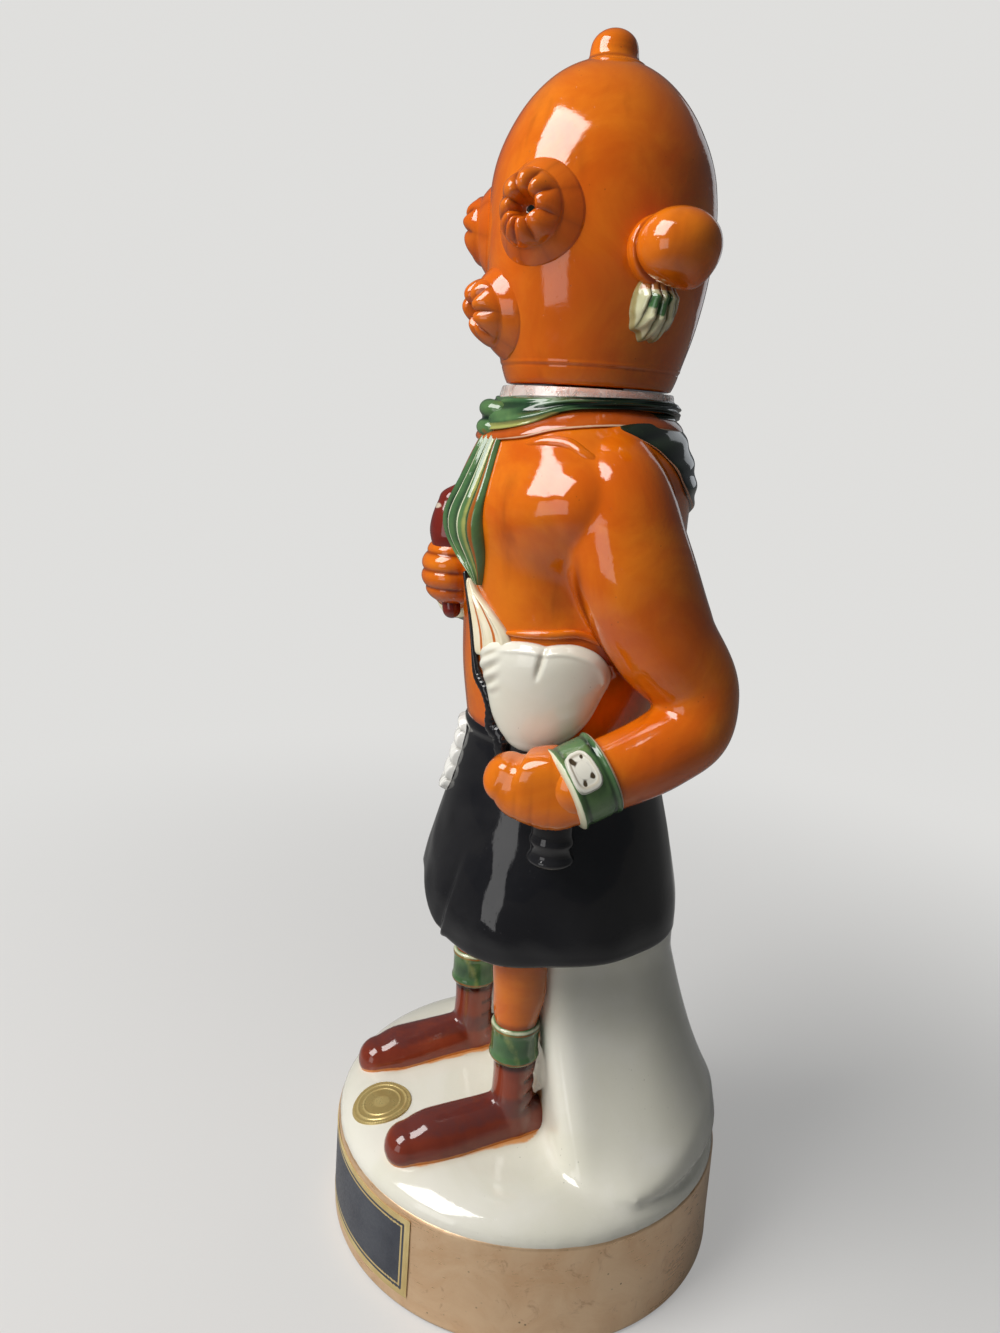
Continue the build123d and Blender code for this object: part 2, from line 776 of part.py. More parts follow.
def head_side(height):
    """Radius of the head at a height, between the points of its outline."""
    share = (height - head_low) / (head_top - head_low)
    for (up, wide), (next_up, next_wide) in zip(head_shares, head_shares[1:]):
        if up <= share <= next_up:
            return head_radius * (wide + (next_wide - wide) * (share - up) / (next_up - up))
    return head_radius


def clay_ring(angle, height, rise):
    """Round boss with a raised ring about a hollow, facing outwards from the head."""
    side = head_side(height)
    face = around(angle, height, neck_centre)
    outward = face.z_dir
    section = Plane(origin=face.origin + outward * side, x_dir=face.x_dir, z_dir=Vector(0, 0, -1))
    crest = (ring_radius + ring_hollow_radius) / 2
    with BuildPart() as form:
        with BuildSketch(section):
            with BuildLine():
                inner, outer = (ring_hollow_radius, ring_hollow_rise), (ring_radius, ring_hollow_rise)
                ThreePointArc(inner, (crest, rise), outer)
                Polyline((ring_radius, ring_hollow_rise), (ring_radius, -ring_root), (0, -ring_root),
                         (0, ring_hollow_rise), (ring_hollow_radius, ring_hollow_rise))
            make_face()
        revolve(axis=Axis(section.origin, outward))
        add(head_form, mode=Mode.SUBTRACT)
    return form.part


def ear_solid(angle):
    """Ear: flange on the head, short neck and ball."""
    side = head_side(ear_height)
    face = around(angle, ear_height, neck_centre)
    outward = face.z_dir
    section = Plane(origin=face.origin + outward * side, x_dir=face.x_dir, z_dir=Vector(0, 0, -1))
    ball_plane = Plane(origin=section.origin + outward * ear_reach, x_dir=face.x_dir, z_dir=section.z_dir)
    with BuildPart() as form:
        with BuildSketch(section):
            Rectangle(ear_flange_radius, ear_flange_rise + ring_root, align=(Align.MIN, Align.MAX))
        revolve(axis=Axis(section.origin, outward))
        with BuildSketch(section):
            Rectangle(ear_neck_radius, ear_reach, align=(Align.MIN, Align.MIN))
        revolve(axis=Axis(section.origin, outward))
        with BuildSketch(ball_plane):
            with BuildLine():
                CenterArc((0, 0), ear_ball_radius, -90, 180)
                Line((0, ear_ball_radius), (0, -ear_ball_radius))
            make_face()
        revolve(axis=Axis(section.origin, outward))
        add(head_form, mode=Mode.SUBTRACT)
    return form.part


def pendant_solid(angle, ear):
    """Leaf-shaped pendant against the head, under the ear."""
    middle = (pendant_top + pendant_low) / 2
    with BuildPart() as form:
        with BuildSketch(around(angle, middle, neck_centre)):
            Ellipse(pendant_half_width, (pendant_top - pendant_low) / 2)
        extrude(amount=head_side(middle) + pendant_thickness)
        add(head_form, mode=Mode.SUBTRACT)
        add(ear, mode=Mode.SUBTRACT)
    return form.part


left_ear = ear_solid(ear_angle)
right_ear = ear_solid(-ear_angle)

# Strips of the broken seal: over the back of the head, round the neck and down the back
with BuildPart() as head_seal_strip:
    with BuildSketch(Plane(origin=(0, 0, head_strip_low), x_dir=(-1, 0, 0), z_dir=(0, 1, 0))):
        strip_rise = head_top - head_strip_low - topknot_radius
        Rectangle(2 * strip_half_width, strip_rise, align=(Align.CENTER, Align.MIN))
    extrude(amount=head_radius + overrun)
    add(head_solid(strip_thickness), mode=Mode.INTERSECT)
    add(head_form, mode=Mode.SUBTRACT)
    add(topknot.part, mode=Mode.SUBTRACT)

with BuildPart() as neck_seal_band:
    with BuildSketch(Plane.XY.offset(neck_seal_low)):
        Circle(base_radius)
    extrude(amount=neck_height - neck_seal_low)
    add(torso_shell(neck_seal_thickness), mode=Mode.INTERSECT)

with BuildPart() as body_seal_strip:
    with BuildSketch(Plane(origin=(0, 0, body_strip_low), x_dir=(-1, 0, 0), z_dir=(0, 1, 0))):
        Rectangle(2 * strip_half_width, drape_low - body_strip_low, align=(Align.CENTER, Align.MIN))
    extrude(amount=chest_back + overrun)
    add(torso_shell(strip_thickness), mode=Mode.INTERSECT)

# Labels on the base
taper = (base_radius - base_top_radius) / band_height
with BuildPart() as base_label:
    with BuildSketch(upright(-label_half_angle)):
        with BuildLine():
            low_radius = base_radius - taper * label_low
            high_radius = base_radius - taper * label_high
            Polyline(
                (low_radius, label_low),
                (low_radius + label_thickness, label_low),
                (high_radius + label_thickness, label_high),
                (high_radius, label_high),
                close=True,
            )
        make_face()
    revolve(axis=Axis.Z, revolution_arc=2 * label_half_angle)

with BuildPart() as round_sticker:
    with BuildSketch(Plane(origin=(sticker_across, -sticker_forward, band_height))):
        Circle(sticker_radius)
    extrude(amount=2 * mound_rise)
    add(mound_solid(sticker_thickness), mode=Mode.INTERSECT)
    add(mound_form, mode=Mode.SUBTRACT)

pieces = {
    "base_band": base_band.part,
    "base_mound": base_mound.part,
    "rear_column": rear_column.part,
    "skirt": skirt.part,
    "torso": torso.part,
    "neck": neck.part,
    "left_arm": left_arm.part,
    "right_arm": right_arm.part,
    "left_hand": left_hand.part,
    "right_hand": right_hand.part,
    "left_wristband": left_wristband.part,
    "right_wristband": right_wristband.part,
    "wristband_plaque": wristband_plaque.part,
    "rattle_head": rattle_head.part,
    "rattle_handle": rattle_handle.part,
    "scarf_collar": scarf_collar.part,
    "scarf_knot": scarf_knot.part,
    "scarf_tail": scarf_tail.part,
    "scarf_drape": scarf_drape.part,
    "waist_pouch": waist_pouch.part,
    "chest_feather": chest_feather.part,
    "skirt_fringe": skirt_fringe.part,
    "held_bundle": held_bundle.part,
    "left_leg": leg_solid(1),
    "right_leg": leg_solid(-1),
    "left_garter": garter_solid(1),
    "right_garter": garter_solid(-1),
    "left_boot": boot_solid(1),
    "right_boot": boot_solid(-1),
    "base_label": base_label.part,
    "round_sticker": round_sticker.part,
    "neck_seal_band": neck_seal_band.part,
    "body_seal_strip": body_seal_strip.part,
    "cork_stopper": cork_stopper.part,
    "head_shell": head_shell.part,
    "topknot": topknot.part,
    "left_eye_ring": clay_ring(eye_angle, eye_height, ring_rise),
    "right_eye_ring": clay_ring(-eye_angle, eye_height, ring_rise),
    "mouth_ring": clay_ring(0, mouth_height, mouth_rise),
    "left_ear": left_ear,
    "right_ear": right_ear,
    "left_ear_pendant": pendant_solid(pendant_angle, left_ear),
    "right_ear_pendant": pendant_solid(-pendant_angle, right_ear),
    "head_seal_strip": head_seal_strip.part,
}

os.makedirs("parts", exist_ok=True)
for name, piece in pieces.items():
    piece.label = name
    export_step(piece, f"parts/{name}.step")
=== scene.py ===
"""Figural liquor decanter: a glazed clay dancer on a gold base, whose masked head is the stopper.

Shapes are worked out in millimetres and put into their meshes in metres. +Z is up, the figure faces -Y
and its left side is +X. Angles go round from the front to the left side.
"""

from math import cos, pi, radians, sin

import bpy
import numpy as np
from mathutils import Matrix


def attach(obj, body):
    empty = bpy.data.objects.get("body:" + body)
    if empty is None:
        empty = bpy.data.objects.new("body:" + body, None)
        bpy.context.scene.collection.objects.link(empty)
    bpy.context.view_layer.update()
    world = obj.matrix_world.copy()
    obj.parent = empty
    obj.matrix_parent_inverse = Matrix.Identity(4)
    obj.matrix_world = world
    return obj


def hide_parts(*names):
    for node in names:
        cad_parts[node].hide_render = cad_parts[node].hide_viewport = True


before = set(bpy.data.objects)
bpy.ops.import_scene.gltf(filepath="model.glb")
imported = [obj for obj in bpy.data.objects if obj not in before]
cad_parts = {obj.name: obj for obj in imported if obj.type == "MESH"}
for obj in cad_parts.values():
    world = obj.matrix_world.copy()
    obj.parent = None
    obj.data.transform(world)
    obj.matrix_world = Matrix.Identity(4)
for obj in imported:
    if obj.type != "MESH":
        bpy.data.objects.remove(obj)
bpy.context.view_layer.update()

MM = 0.001


# Curves and small measures

def ease(value, low, high):
    """0 below low and 1 above high, with share^2 (3 - 2 share) between."""
    share = np.clip((value - low) / (high - low), 0, 1)
    return share * share * (3 - 2 * share)


def bell(value, middle, width):
    """Bell curve: exp of minus the square of the distance from the middle over the width."""
    return np.exp(-(((value - middle) / width) ** 2))


def through(value, places, sizes):
    """Cubic Hermite curve through sizes at places, its slopes taken from the neighbours."""
    places = np.asarray(places, float)
    sizes = np.asarray(sizes, float)
    slopes = np.gradient(sizes, places)
    value = np.clip(value, places[0], places[-1])
    at = np.clip(np.searchsorted(places, value, side="right") - 1, 0, len(places) - 2)
    gap = places[at + 1] - places[at]
    share = (value - places[at]) / gap
    square, cube = share ** 2, share ** 3
    start = sizes[at] * (2 * cube - 3 * square + 1) + slopes[at] * gap * (cube - 2 * square + share)
    return start + sizes[at + 1] * (3 * square - 2 * cube) + slopes[at + 1] * gap * (cube - square)


def course(stops, count):
    """Smooth path of count points through stops, spaced by the straight distance between them."""
    stops = np.asarray(stops, float)
    steps = np.linalg.norm(np.diff(stops, axis=0), axis=1)
    reach = np.concatenate([[0], np.cumsum(steps)])
    along = np.linspace(0, reach[-1], count)
    return np.stack([through(along, reach, stops[:, axis]) for axis in range(stops.shape[1])], axis=1)


def waver(points, size, length, seed):
    """Hand-made unevenness: seven sine waves of about a length, in directions fixed by the seed."""
    waves = 7
    draw = np.random.default_rng(seed)
    total = np.zeros(points.shape[:-1])
    for _ in range(waves):
        heading = draw.normal(size=3)
        heading *= 2 * pi / (length * draw.uniform(0.6, 1.5) * np.linalg.norm(heading))
        total += np.sin(points @ heading + draw.uniform(0, 2 * pi))
    return size * total / waves ** 0.5


def unit(vectors):
    """Vectors scaled to length one."""
    vectors = np.asarray(vectors, float)
    return vectors / np.linalg.norm(vectors, axis=-1, keepdims=True)


def signed_degrees(angle):
    """Angle from the front in degrees, from -180 to 180."""
    return np.degrees((angle + pi) % (2 * pi) - pi)


# From arrays to meshes

def faces_of(index, start_pole, end_pole):
    """Faces over a grid of vertex numbers that goes round on itself, with triangles at its poles."""
    index = np.concatenate([index, index[:, :1]], axis=1)
    corners = np.stack([index[:-1, :-1], index[:-1, 1:], index[1:, 1:], index[1:, :-1]], axis=-1)
    first, last = int(start_pole), len(corners) - int(end_pole)
    quads = corners[first:last].reshape(-1, 4)
    tips = []
    if start_pole:
        tips.append(corners[0][:, [0, 2, 3]])
    if end_pole:
        tips.append(corners[-1][:, [0, 1, 2]])
    return quads, np.concatenate(tips) if tips else np.zeros((0, 3), int)


def faces_inward(points, quads, tips):
    """True where the faces of a closed mesh turn inwards, by the sign of its volume."""
    halves = np.concatenate([quads[:, :3], quads[:, [0, 2, 3]], tips])
    a, b, c = (points[halves[:, k]] for k in range(3))
    return np.einsum("ij,ij->", a, np.cross(b, c)) < 0


def fill_mesh(mesh, points, quads, tips, tones):
    """Puts points in millimetres, faces and per-point tones into a mesh, faces outwards."""
    used, slots = np.unique(np.concatenate([quads.ravel(), tips.ravel()]), return_inverse=True)
    quads = slots[:quads.size].reshape(-1, 4)
    tips = slots[quads.size:].reshape(-1, 3)
    points = points[used]
    if faces_inward(points, quads, tips):
        quads, tips = quads[:, ::-1], tips[:, ::-1]
    loops = np.concatenate([quads.ravel(), tips.ravel()])
    starts = np.concatenate([np.arange(len(quads)) * 4, quads.size + np.arange(len(tips)) * 3])
    mesh.vertices.add(len(points))
    mesh.vertices.foreach_set("co", (points * MM).ravel())
    mesh.loops.add(len(loops))
    mesh.loops.foreach_set("vertex_index", loops.astype(np.int32))
    mesh.polygons.add(len(starts))
    mesh.polygons.foreach_set("loop_start", starts.astype(np.int32))
    mesh.polygons.foreach_set("use_smooth", np.ones(len(starts), bool))
    for name, values in tones.items():
        layer = mesh.attributes.new(name, "FLOAT", "POINT")
        layer.data.foreach_set("value", np.asarray(values, float).ravel()[used])
    mesh.update(calc_edges=True)
    mesh.validate()


def placed(name, data):
    """New object in the scene for a mesh, a lamp or a camera."""
    piece = bpy.data.objects.new(name, data)
    bpy.context.scene.collection.objects.link(piece)
    return piece


def closed_grid(points):
    """Points and faces of a grid whose first and last rows are each drawn together in one point."""
    points = np.array(points, float)
    rows, columns = points.shape[:2]
    index = np.arange(rows * columns).reshape(rows, columns)
    for row in (0, -1):
        points[row] = points[row].mean(axis=0)
        index[row] = index[row, 0]
    quads, tips = faces_of(index, True, True)
    return points.reshape(-1, 3), quads, tips


def skin(name, points, tones=None):
    """Closed piece over a grid of points that goes round on itself between two poles."""
    mesh = bpy.data.meshes.new(name)
    fill_mesh(mesh, *closed_grid(points), tones or {})
    return placed(name, mesh)


def skin_ring(name, grid, tones):
    """Closed ring: the grid joined to itself both along and across."""
    rows, columns = grid.shape[:2]
    index = np.arange(rows * columns).reshape(rows, columns)
    index = np.concatenate([index, index[:1]], axis=0)
    mesh = bpy.data.meshes.new(name)
    fill_mesh(mesh, grid.reshape(-1, 3), *faces_of(index, False, False), tones)
    return placed(name, mesh)


def turned(outline, origin, axis, turns=128):
    """Grid of an outline (radius, distance along the axis) turned about an axis through an origin."""
    outline = np.asarray(outline, float)
    axis = unit(axis)
    across = np.cross(axis, (0, 0, 1)) if abs(axis[2]) < 0.9 else np.array([1.0, 0, 0])
    across = unit(across)
    beside = np.cross(axis, across)
    turn = np.linspace(0, 2 * pi, turns, endpoint=False)
    ring = np.cos(turn)[:, None] * across + np.sin(turn)[:, None] * beside
    return np.asarray(origin, float) + outline[:, :1, None] * ring + outline[:, 1:, None] * axis


def tube(path, half_width, half_height, up=(0, 0, 1), turns=48, power=2.0, cap_rows=8):
    """Superellipse carried along a path, its ends drawn in as quarter rounds to a point."""
    path = np.asarray(path, float)
    count = len(path)
    half_width = np.broadcast_to(np.asarray(half_width, float), count)
    half_height = np.broadcast_to(np.asarray(half_height, float), count)
    heading = unit(np.gradient(path, axis=0))
    up = np.broadcast_to(np.asarray(up, float), (count, 3))
    bend = np.linspace(pi / 2, 0, cap_rows + 1)[:-1]

    def with_caps(values):
        ones = np.ones((cap_rows,) + (1,) * (values.ndim - 1))
        return np.concatenate([values[:1] * ones, values, values[-1:] * ones])

    shrink = np.concatenate([np.cos(bend), np.ones(count), np.cos(bend[::-1])])[:, None]
    reach = np.minimum(half_width, half_height)
    push = np.concatenate([-np.sin(bend) * reach[0], np.zeros(count), np.sin(bend[::-1]) * reach[-1]])
    heading = with_caps(heading)
    centre = with_caps(path) + heading * push[:, None]
    side = unit(np.cross(heading, with_caps(up)))
    rise = np.cross(side, heading)
    turn = np.linspace(0, 2 * pi, turns, endpoint=False)
    level, upright = np.cos(turn), np.sin(turn)
    level = np.sign(level) * np.abs(level) ** (2 / power)
    upright = np.sign(upright) * np.abs(upright) ** (2 / power)
    wide = with_caps(half_width)[:, None] * shrink
    tall = with_caps(half_height)[:, None] * shrink
    return (centre[:, None] + side[:, None] * (wide * level)[..., None]
            + rise[:, None] * (tall * upright)[..., None])


def pad(name, lay, outline, rise, rings=36, turns=120, root=1.4, tones=None):
    """Raised pad laid on a carrier: rings from its middle out to its outline, then back under it.

    lay(across, up, lift) gives the place on the carrier, outline(turn) the reach of the edge across and
    up, rise(share, turn, across, up) the height over the carrier, and tones the same for each tone.
    """
    out = np.sin(np.linspace(0, pi / 2, rings))
    back = np.linspace(0.985, 0, 7)
    share = np.concatenate([out, back])[:, None]
    under = np.concatenate([np.zeros(rings), np.ones(len(back))])[:, None]
    turn = np.linspace(0, 2 * pi, turns, endpoint=False)[None, :]
    across, up = outline(turn)
    across, up = across * share, up * share
    lift = rise(share, turn, across, up) * (1 - under) - root * under
    marks = {key: np.broadcast_to(tone(share, turn, across, up) * (1 - under), across.shape)
             for key, tone in (tones or {}).items()}
    return skin(name, lay(across, up, lift), tones=marks)


def loop(points):
    """Edge of a pad: its reach from the middle, on a smooth curve through (across, up) points."""
    points = np.asarray(points, float)
    angle = np.arctan2(points[:, 1], points[:, 0]) % (2 * pi)
    order = np.argsort(angle)
    reach = np.tile(np.linalg.norm(points, axis=1)[order], 3)
    angle = np.concatenate([angle[order] - 2 * pi, angle[order], angle[order] + 2 * pi])

    def outline(turn):
        size = through(turn % (2 * pi), angle, reach)
        return size * np.cos(turn), size * np.sin(turn)

    return outline


def strip(name, lay, rise, rows=120, columns=72, tones=None):
    """Raised strip on a carrier: over the top from side 1 to side -1 and back underneath.

    lay(way, side, lift) gives the place, rise(way, side) the height over the carrier, and tones the same for
    each tone.
    """
    root = 1.0
    way = np.linspace(0, 1, rows)[:, None]
    turn = np.linspace(0, 2 * pi, columns, endpoint=False)[None, :]
    side, over = np.cos(turn), np.sin(turn) > -1e-9
    way, side = np.broadcast_arrays(way, side)
    lift = np.where(over, rise(way, side), -root)
    marks = {key: np.where(over, tone(way, side), 0) for key, tone in (tones or {}).items()}
    return skin(name, lay(way, side, lift), tones=marks)


def tapered(way, side, side_power, way_power):
    """1 over the middle of a strip, rounded down to 0 along its edges and at its ends."""
    return (1 - side ** side_power) ** 0.5 * (1 - (2 * way - 1) ** way_power) ** 0.5


def fused(name, grids, grain, rounds):
    """One clay skin round several overlapping closed grids: remeshed at a grain in mm, then smoothed."""
    mesh = bpy.data.meshes.new(name)
    points, quads, tips, count = [], [], [], 0
    for grid in grids:
        spots, some, few = closed_grid(grid)
        if faces_inward(spots, some, few):
            some, few = some[:, ::-1], few[:, ::-1]
        points.append(spots)
        quads.append(some + count)
        tips.append(few + count)
        count += len(spots)
    fill_mesh(mesh, np.concatenate(points), np.concatenate(quads), np.concatenate(tips), {})
    rough = placed(name + "_rough", mesh)
    remesh = rough.modifiers.new("clay", "REMESH")
    remesh.mode = "VOXEL"
    remesh.voxel_size = grain * MM
    soften = rough.modifiers.new("thumb", "SMOOTH")
    soften.factor = 0.5
    soften.iterations = rounds
    bpy.context.view_layer.update()
    graph = bpy.context.evaluated_depsgraph_get()
    fine = bpy.data.meshes.new_from_object(rough.evaluated_get(graph), depsgraph=graph)
    fine.name = name
    fine.polygons.foreach_set("use_smooth", np.ones(len(fine.polygons), bool))
    bpy.data.objects.remove(rough)
    bpy.data.meshes.remove(mesh)
    return placed(name, fine)


def points_of(piece):
    """Points of a finished piece, in millimetres."""
    flat = np.zeros(len(piece.data.vertices) * 3)
    piece.data.vertices.foreach_get("co", flat)
    return flat.reshape(-1, 3) / MM


def paint(piece, name, values):
    """Writes a tone for each point of a finished piece."""
    layer = piece.data.attributes.new(name, "FLOAT", "POINT")
    layer.data.foreach_set("value", np.asarray(values, float).ravel())


# Nodes of the finishes

def put(tree, kind, feeds=None, **settings):
    """Adds a node with its settings, each input fed from a socket or given a constant."""
    node = tree.nodes.new(kind)
    for key, value in settings.items():
        setattr(node, key, value)
    for key, value in (feeds or {}).items():
        if isinstance(value, bpy.types.NodeSocket):
            tree.links.new(value, node.inputs[key])
        else:
            node.inputs[key].default_value = value
    return node


def cloud(tree, place, scale, detail=4.0, rough=0.55, warp=0.0):
    """Noise between 0 and 1 at a scale per metre."""
    return put(tree, "ShaderNodeTexNoise", {"Vector": place, "Scale": scale, "Detail": detail,
                                            "Roughness": rough, "Distortion": warp}).outputs["Fac"]


def span(tree, value, low, high, to_low=0.0, to_high=1.0):
    """Maps a value from low..high onto a range, clamped, with smooth ends."""
    return put(tree, "ShaderNodeMapRange", {"Value": value, "From Min": low, "From Max": high,
                                            "To Min": to_low, "To Max": to_high},
               interpolation_type="SMOOTHSTEP").outputs["Result"]


def sums(tree, kind, first, second, third=0.0):
    """Arithmetic on two or three values."""
    return put(tree, "ShaderNodeMath", {0: first, 1: second, 2: third}, operation=kind).outputs[0]


def blend(tree, share, first, second):
    """Mixes two colours by a share."""
    return put(tree, "ShaderNodeMix", {0: share, 6: first, 7: second}, data_type="RGBA").outputs[2]


def tone_of(tree, name):
    """A piece's own tone attribute."""
    return put(tree, "ShaderNodeAttribute", attribute_name=name).outputs["Fac"]


def rgb(red, green, blue):
    """Colour written as display values from 0 to 255, made linear."""
    channels = np.array([red, green, blue]) / 255
    linear = np.where(channels <= 0.04045, channels / 12.92, ((channels + 0.055) / 1.055) ** 2.4)
    return (*linear.tolist(), 1.0)


def surface(name, fixed):
    """New material with one Principled shader whose constant sockets are set; gives tree and shader."""
    material = bpy.data.materials.new(name)
    material.use_nodes = True
    tree = material.node_tree
    tree.nodes.clear()
    shader = put(tree, "ShaderNodeBsdfPrincipled", fixed)
    put(tree, "ShaderNodeOutputMaterial", {"Surface": shader.outputs[0]})
    return material, tree, shader


def object_place(tree):
    """Place on the object, in metres."""
    return put(tree, "ShaderNodeTexCoord").outputs["Object"]


def ripple(tree, shader, heights):
    """Bump from a list of (height socket, depth in mm), one after another."""
    normal = None
    for height, depth in heights:
        feeds = {"Height": height, "Distance": depth * MM, "Strength": 1.0}
        if normal is not None:
            feeds["Normal"] = normal
        normal = put(tree, "ShaderNodeBump", feeds).outputs["Normal"]
    tree.links.new(normal, shader.inputs["Normal"])


def dress(tree, shader, colour, rough, heights):
    """Joins colour and roughness to a shader and gives it its bumps."""
    tree.links.new(colour, shader.inputs["Base Color"])
    tree.links.new(rough, shader.inputs["Roughness"])
    ripple(tree, shader, heights)


def glaze(name, body, deep, thin, second=None, third=None, line=None, rough=(0.05, 0.13), fixed=None,
          speck=0.35, run=0.55, wave=0.3):
    """Fired glaze: body colour clouded towards the thin colour, deep in streaky runs and where the pool tone
    lies, specks, and soft ripples.

    Tones: pool darkens towards the deep colour, mostly as painted shade in creases, grooves, hollows and on
    sides turned from the lamps, in places as darker glaze; edge gives the second colour, in places a painted
    highlight along ridges; patch the third and line the fourth.
    """
    sockets = {"Coat Weight": 0.35, "Coat Roughness": 0.03, "IOR": 1.52, "Specular IOR Level": 0.5}
    sockets.update(fixed or {})
    material, tree, shader = surface(name, sockets)
    place = object_place(tree)
    cloud_scale = 38.0
    broad = cloud(tree, place, cloud_scale, 5.0, 0.6, 0.6)
    grain = cloud(tree, place, cloud_scale * 9, 4.0, 0.6)
    colour = blend(tree, span(tree, broad, 0.32, 0.72), body, thin)
    streak = put(tree, "ShaderNodeMapping", {"Vector": place, "Scale": (1.0, 1.0, 0.22)}).outputs[0]
    runs = cloud(tree, streak, cloud_scale * 2.4, 3.0, 0.5, 0.4)
    # Streaky runs darken the glaze; the tone added to them is mostly painted shade, in places darker glaze.
    pooled_and_shaded = sums(tree, "ADD", span(tree, runs, 0.5, 0.85, 0.0, run), tone_of(tree, "pool"))
    colour = blend(tree, span(tree, pooled_and_shaded, 0.0, 1.0), colour, deep)
    ragged = sums(tree, "MULTIPLY_ADD", grain, 0.28, -0.14)
    for key, shade in (("edge", second), ("patch", third), ("line", line)):
        if shade:
            border = sums(tree, "ADD", tone_of(tree, key), ragged)
            colour = blend(tree, span(tree, border, 0.36, 0.64), colour, shade)
    dots = put(tree, "ShaderNodeTexVoronoi", {"Vector": place, "Scale": cloud_scale * 13}).outputs["Distance"]
    rare = span(tree, cloud(tree, place, cloud_scale * 3.1, 1.0), 0.55, 0.7)
    dotted = sums(tree, "MULTIPLY", span(tree, dots, 0.06, 0.13, speck, 0.0), rare)
    colour = blend(tree, dotted, colour, tuple(0.25 * channel for channel in deep[:3]) + (1.0,))
    dress(tree, shader, colour, span(tree, grain, 0.3, 0.75, *rough),
          [(broad, wave), (grain, 0.03), (span(tree, dots, 0.05, 0.12), 0.02)])
    return material


orange_glaze = glaze("orange_glaze", rgb(206, 92, 6), rgb(110, 28, 2), rgb(226, 122, 20), run=0.5)
cream_glaze = glaze("cream_glaze", rgb(226, 224, 208), rgb(164, 146, 112), rgb(232, 230, 218),
                    second=rgb(204, 146, 92), line=rgb(74, 62, 44), run=0.08, wave=0.12)
# Its pale second colour is only used as the painted highlight line along the chest strap.
black_glaze = glaze("black_glaze", rgb(20, 20, 24), rgb(8, 8, 10), rgb(34, 34, 36),
                    second=rgb(226, 224, 218), rough=(0.04, 0.1), speck=0.1, wave=0.1,
                    fixed={"Coat Weight": 0.15})
# Its pale second colour is real cream on rims, and on the tail's pleat ridges partly a painted highlight.
green_glaze = glaze("green_glaze", rgb(58, 98, 62), rgb(16, 36, 24), rgb(104, 138, 84),
                    second=rgb(226, 226, 196), third=rgb(160, 84, 24), line=rgb(160, 164, 92))
# Shaded copy of the green glaze for the scarf over the back: the same cloth, painted darker as shade.
shaded_green_glaze = glaze("shaded_green_glaze", rgb(22, 32, 24), rgb(6, 8, 8), rgb(44, 58, 36),
                         second=rgb(206, 150, 116))
boot_glaze = glaze("boot_glaze", rgb(118, 46, 30), rgb(52, 16, 10), rgb(142, 62, 38),
                   second=rgb(212, 128, 60), third=rgb(98, 50, 46))
maroon_glaze = glaze("maroon_glaze", rgb(98, 24, 20), rgb(40, 8, 8), rgb(134, 44, 30),
                     second=rgb(206, 190, 170))
white_glaze = glaze("white_glaze", rgb(226, 226, 220), rgb(150, 146, 138), rgb(234, 233, 228),
                    second=rgb(30, 29, 30), run=0.2)
# Its brown third colour is partly painted shade, down the back side of each pendant.
pendant_glaze = glaze("pendant_glaze", rgb(196, 198, 158), rgb(96, 92, 44), rgb(216, 214, 178),
                      second=rgb(70, 112, 66), third=rgb(168, 112, 62), line=rgb(150, 140, 92), run=0.25)
streaked_glaze = glaze("streaked_glaze", rgb(232, 218, 178), rgb(170, 96, 30), rgb(238, 230, 206),
                       second=rgb(196, 104, 34), run=0.25)
# Its pale second colour lines the roll's lower ridge, partly as a painted highlight.
shoulder_glaze = glaze("shoulder_glaze", rgb(176, 74, 14), rgb(96, 30, 5), rgb(198, 98, 28),
                       second=rgb(232, 196, 160))
ring_glaze = glaze("ring_glaze", rgb(204, 90, 8), rgb(96, 26, 3), rgb(222, 116, 24), second=rgb(20, 26, 18),
                   run=0.35)


def make_gold():
    """Satin copper-gold lustre: mottled, small dark specks, brushed rings, fine scratches, painted shade at
    the foot.
    """
    material, tree, shader = surface("gold_lustre", {"Metallic": 0.55, "Specular IOR Level": 0.5,
                                                     "Coat Weight": 0.12, "Coat Roughness": 0.2})
    place = object_place(tree)
    mottle = cloud(tree, place, 55.0, 6.0, 0.65, 0.8)
    grain = cloud(tree, place, 600.0, 4.0, 0.6)
    colour = blend(tree, span(tree, mottle, 0.3, 0.7), rgb(220, 180, 138), rgb(234, 202, 164))
    rust = cloud(tree, place, 130.0, 5.0, 0.7, 1.2)
    colour = blend(tree, span(tree, rust, 0.56, 0.78, 0.0, 0.6), colour, rgb(150, 98, 62))
    dots = put(tree, "ShaderNodeTexVoronoi", {"Vector": place, "Scale": 420.0}).outputs["Distance"]
    rare = span(tree, cloud(tree, place, 90.0, 1.0), 0.5, 0.68)
    colour = blend(tree, sums(tree, "MULTIPLY", span(tree, dots, 0.08, 0.16, 0.8, 0.0), rare), colour,
                   rgb(70, 44, 26))
    flat = put(tree, "ShaderNodeMapping", {"Vector": place, "Scale": (1.0, 1.0, 9.0)}).outputs[0]
    scratch = cloud(tree, flat, 160.0, 3.0, 0.7)
    # Darkened by the tone: painted shade along the band's foot, and a dark line along its top edge.
    colour = blend(tree, span(tree, tone_of(tree, "pool"), 0.0, 1.0), colour, rgb(112, 74, 44))
    dress(tree, shader, colour, span(tree, sums(tree, "ADD", mottle, scratch), 0.7, 1.3, 0.26, 0.42),
          [(mottle, 0.25), (scratch, 0.04), (grain, 0.02)])
    return material


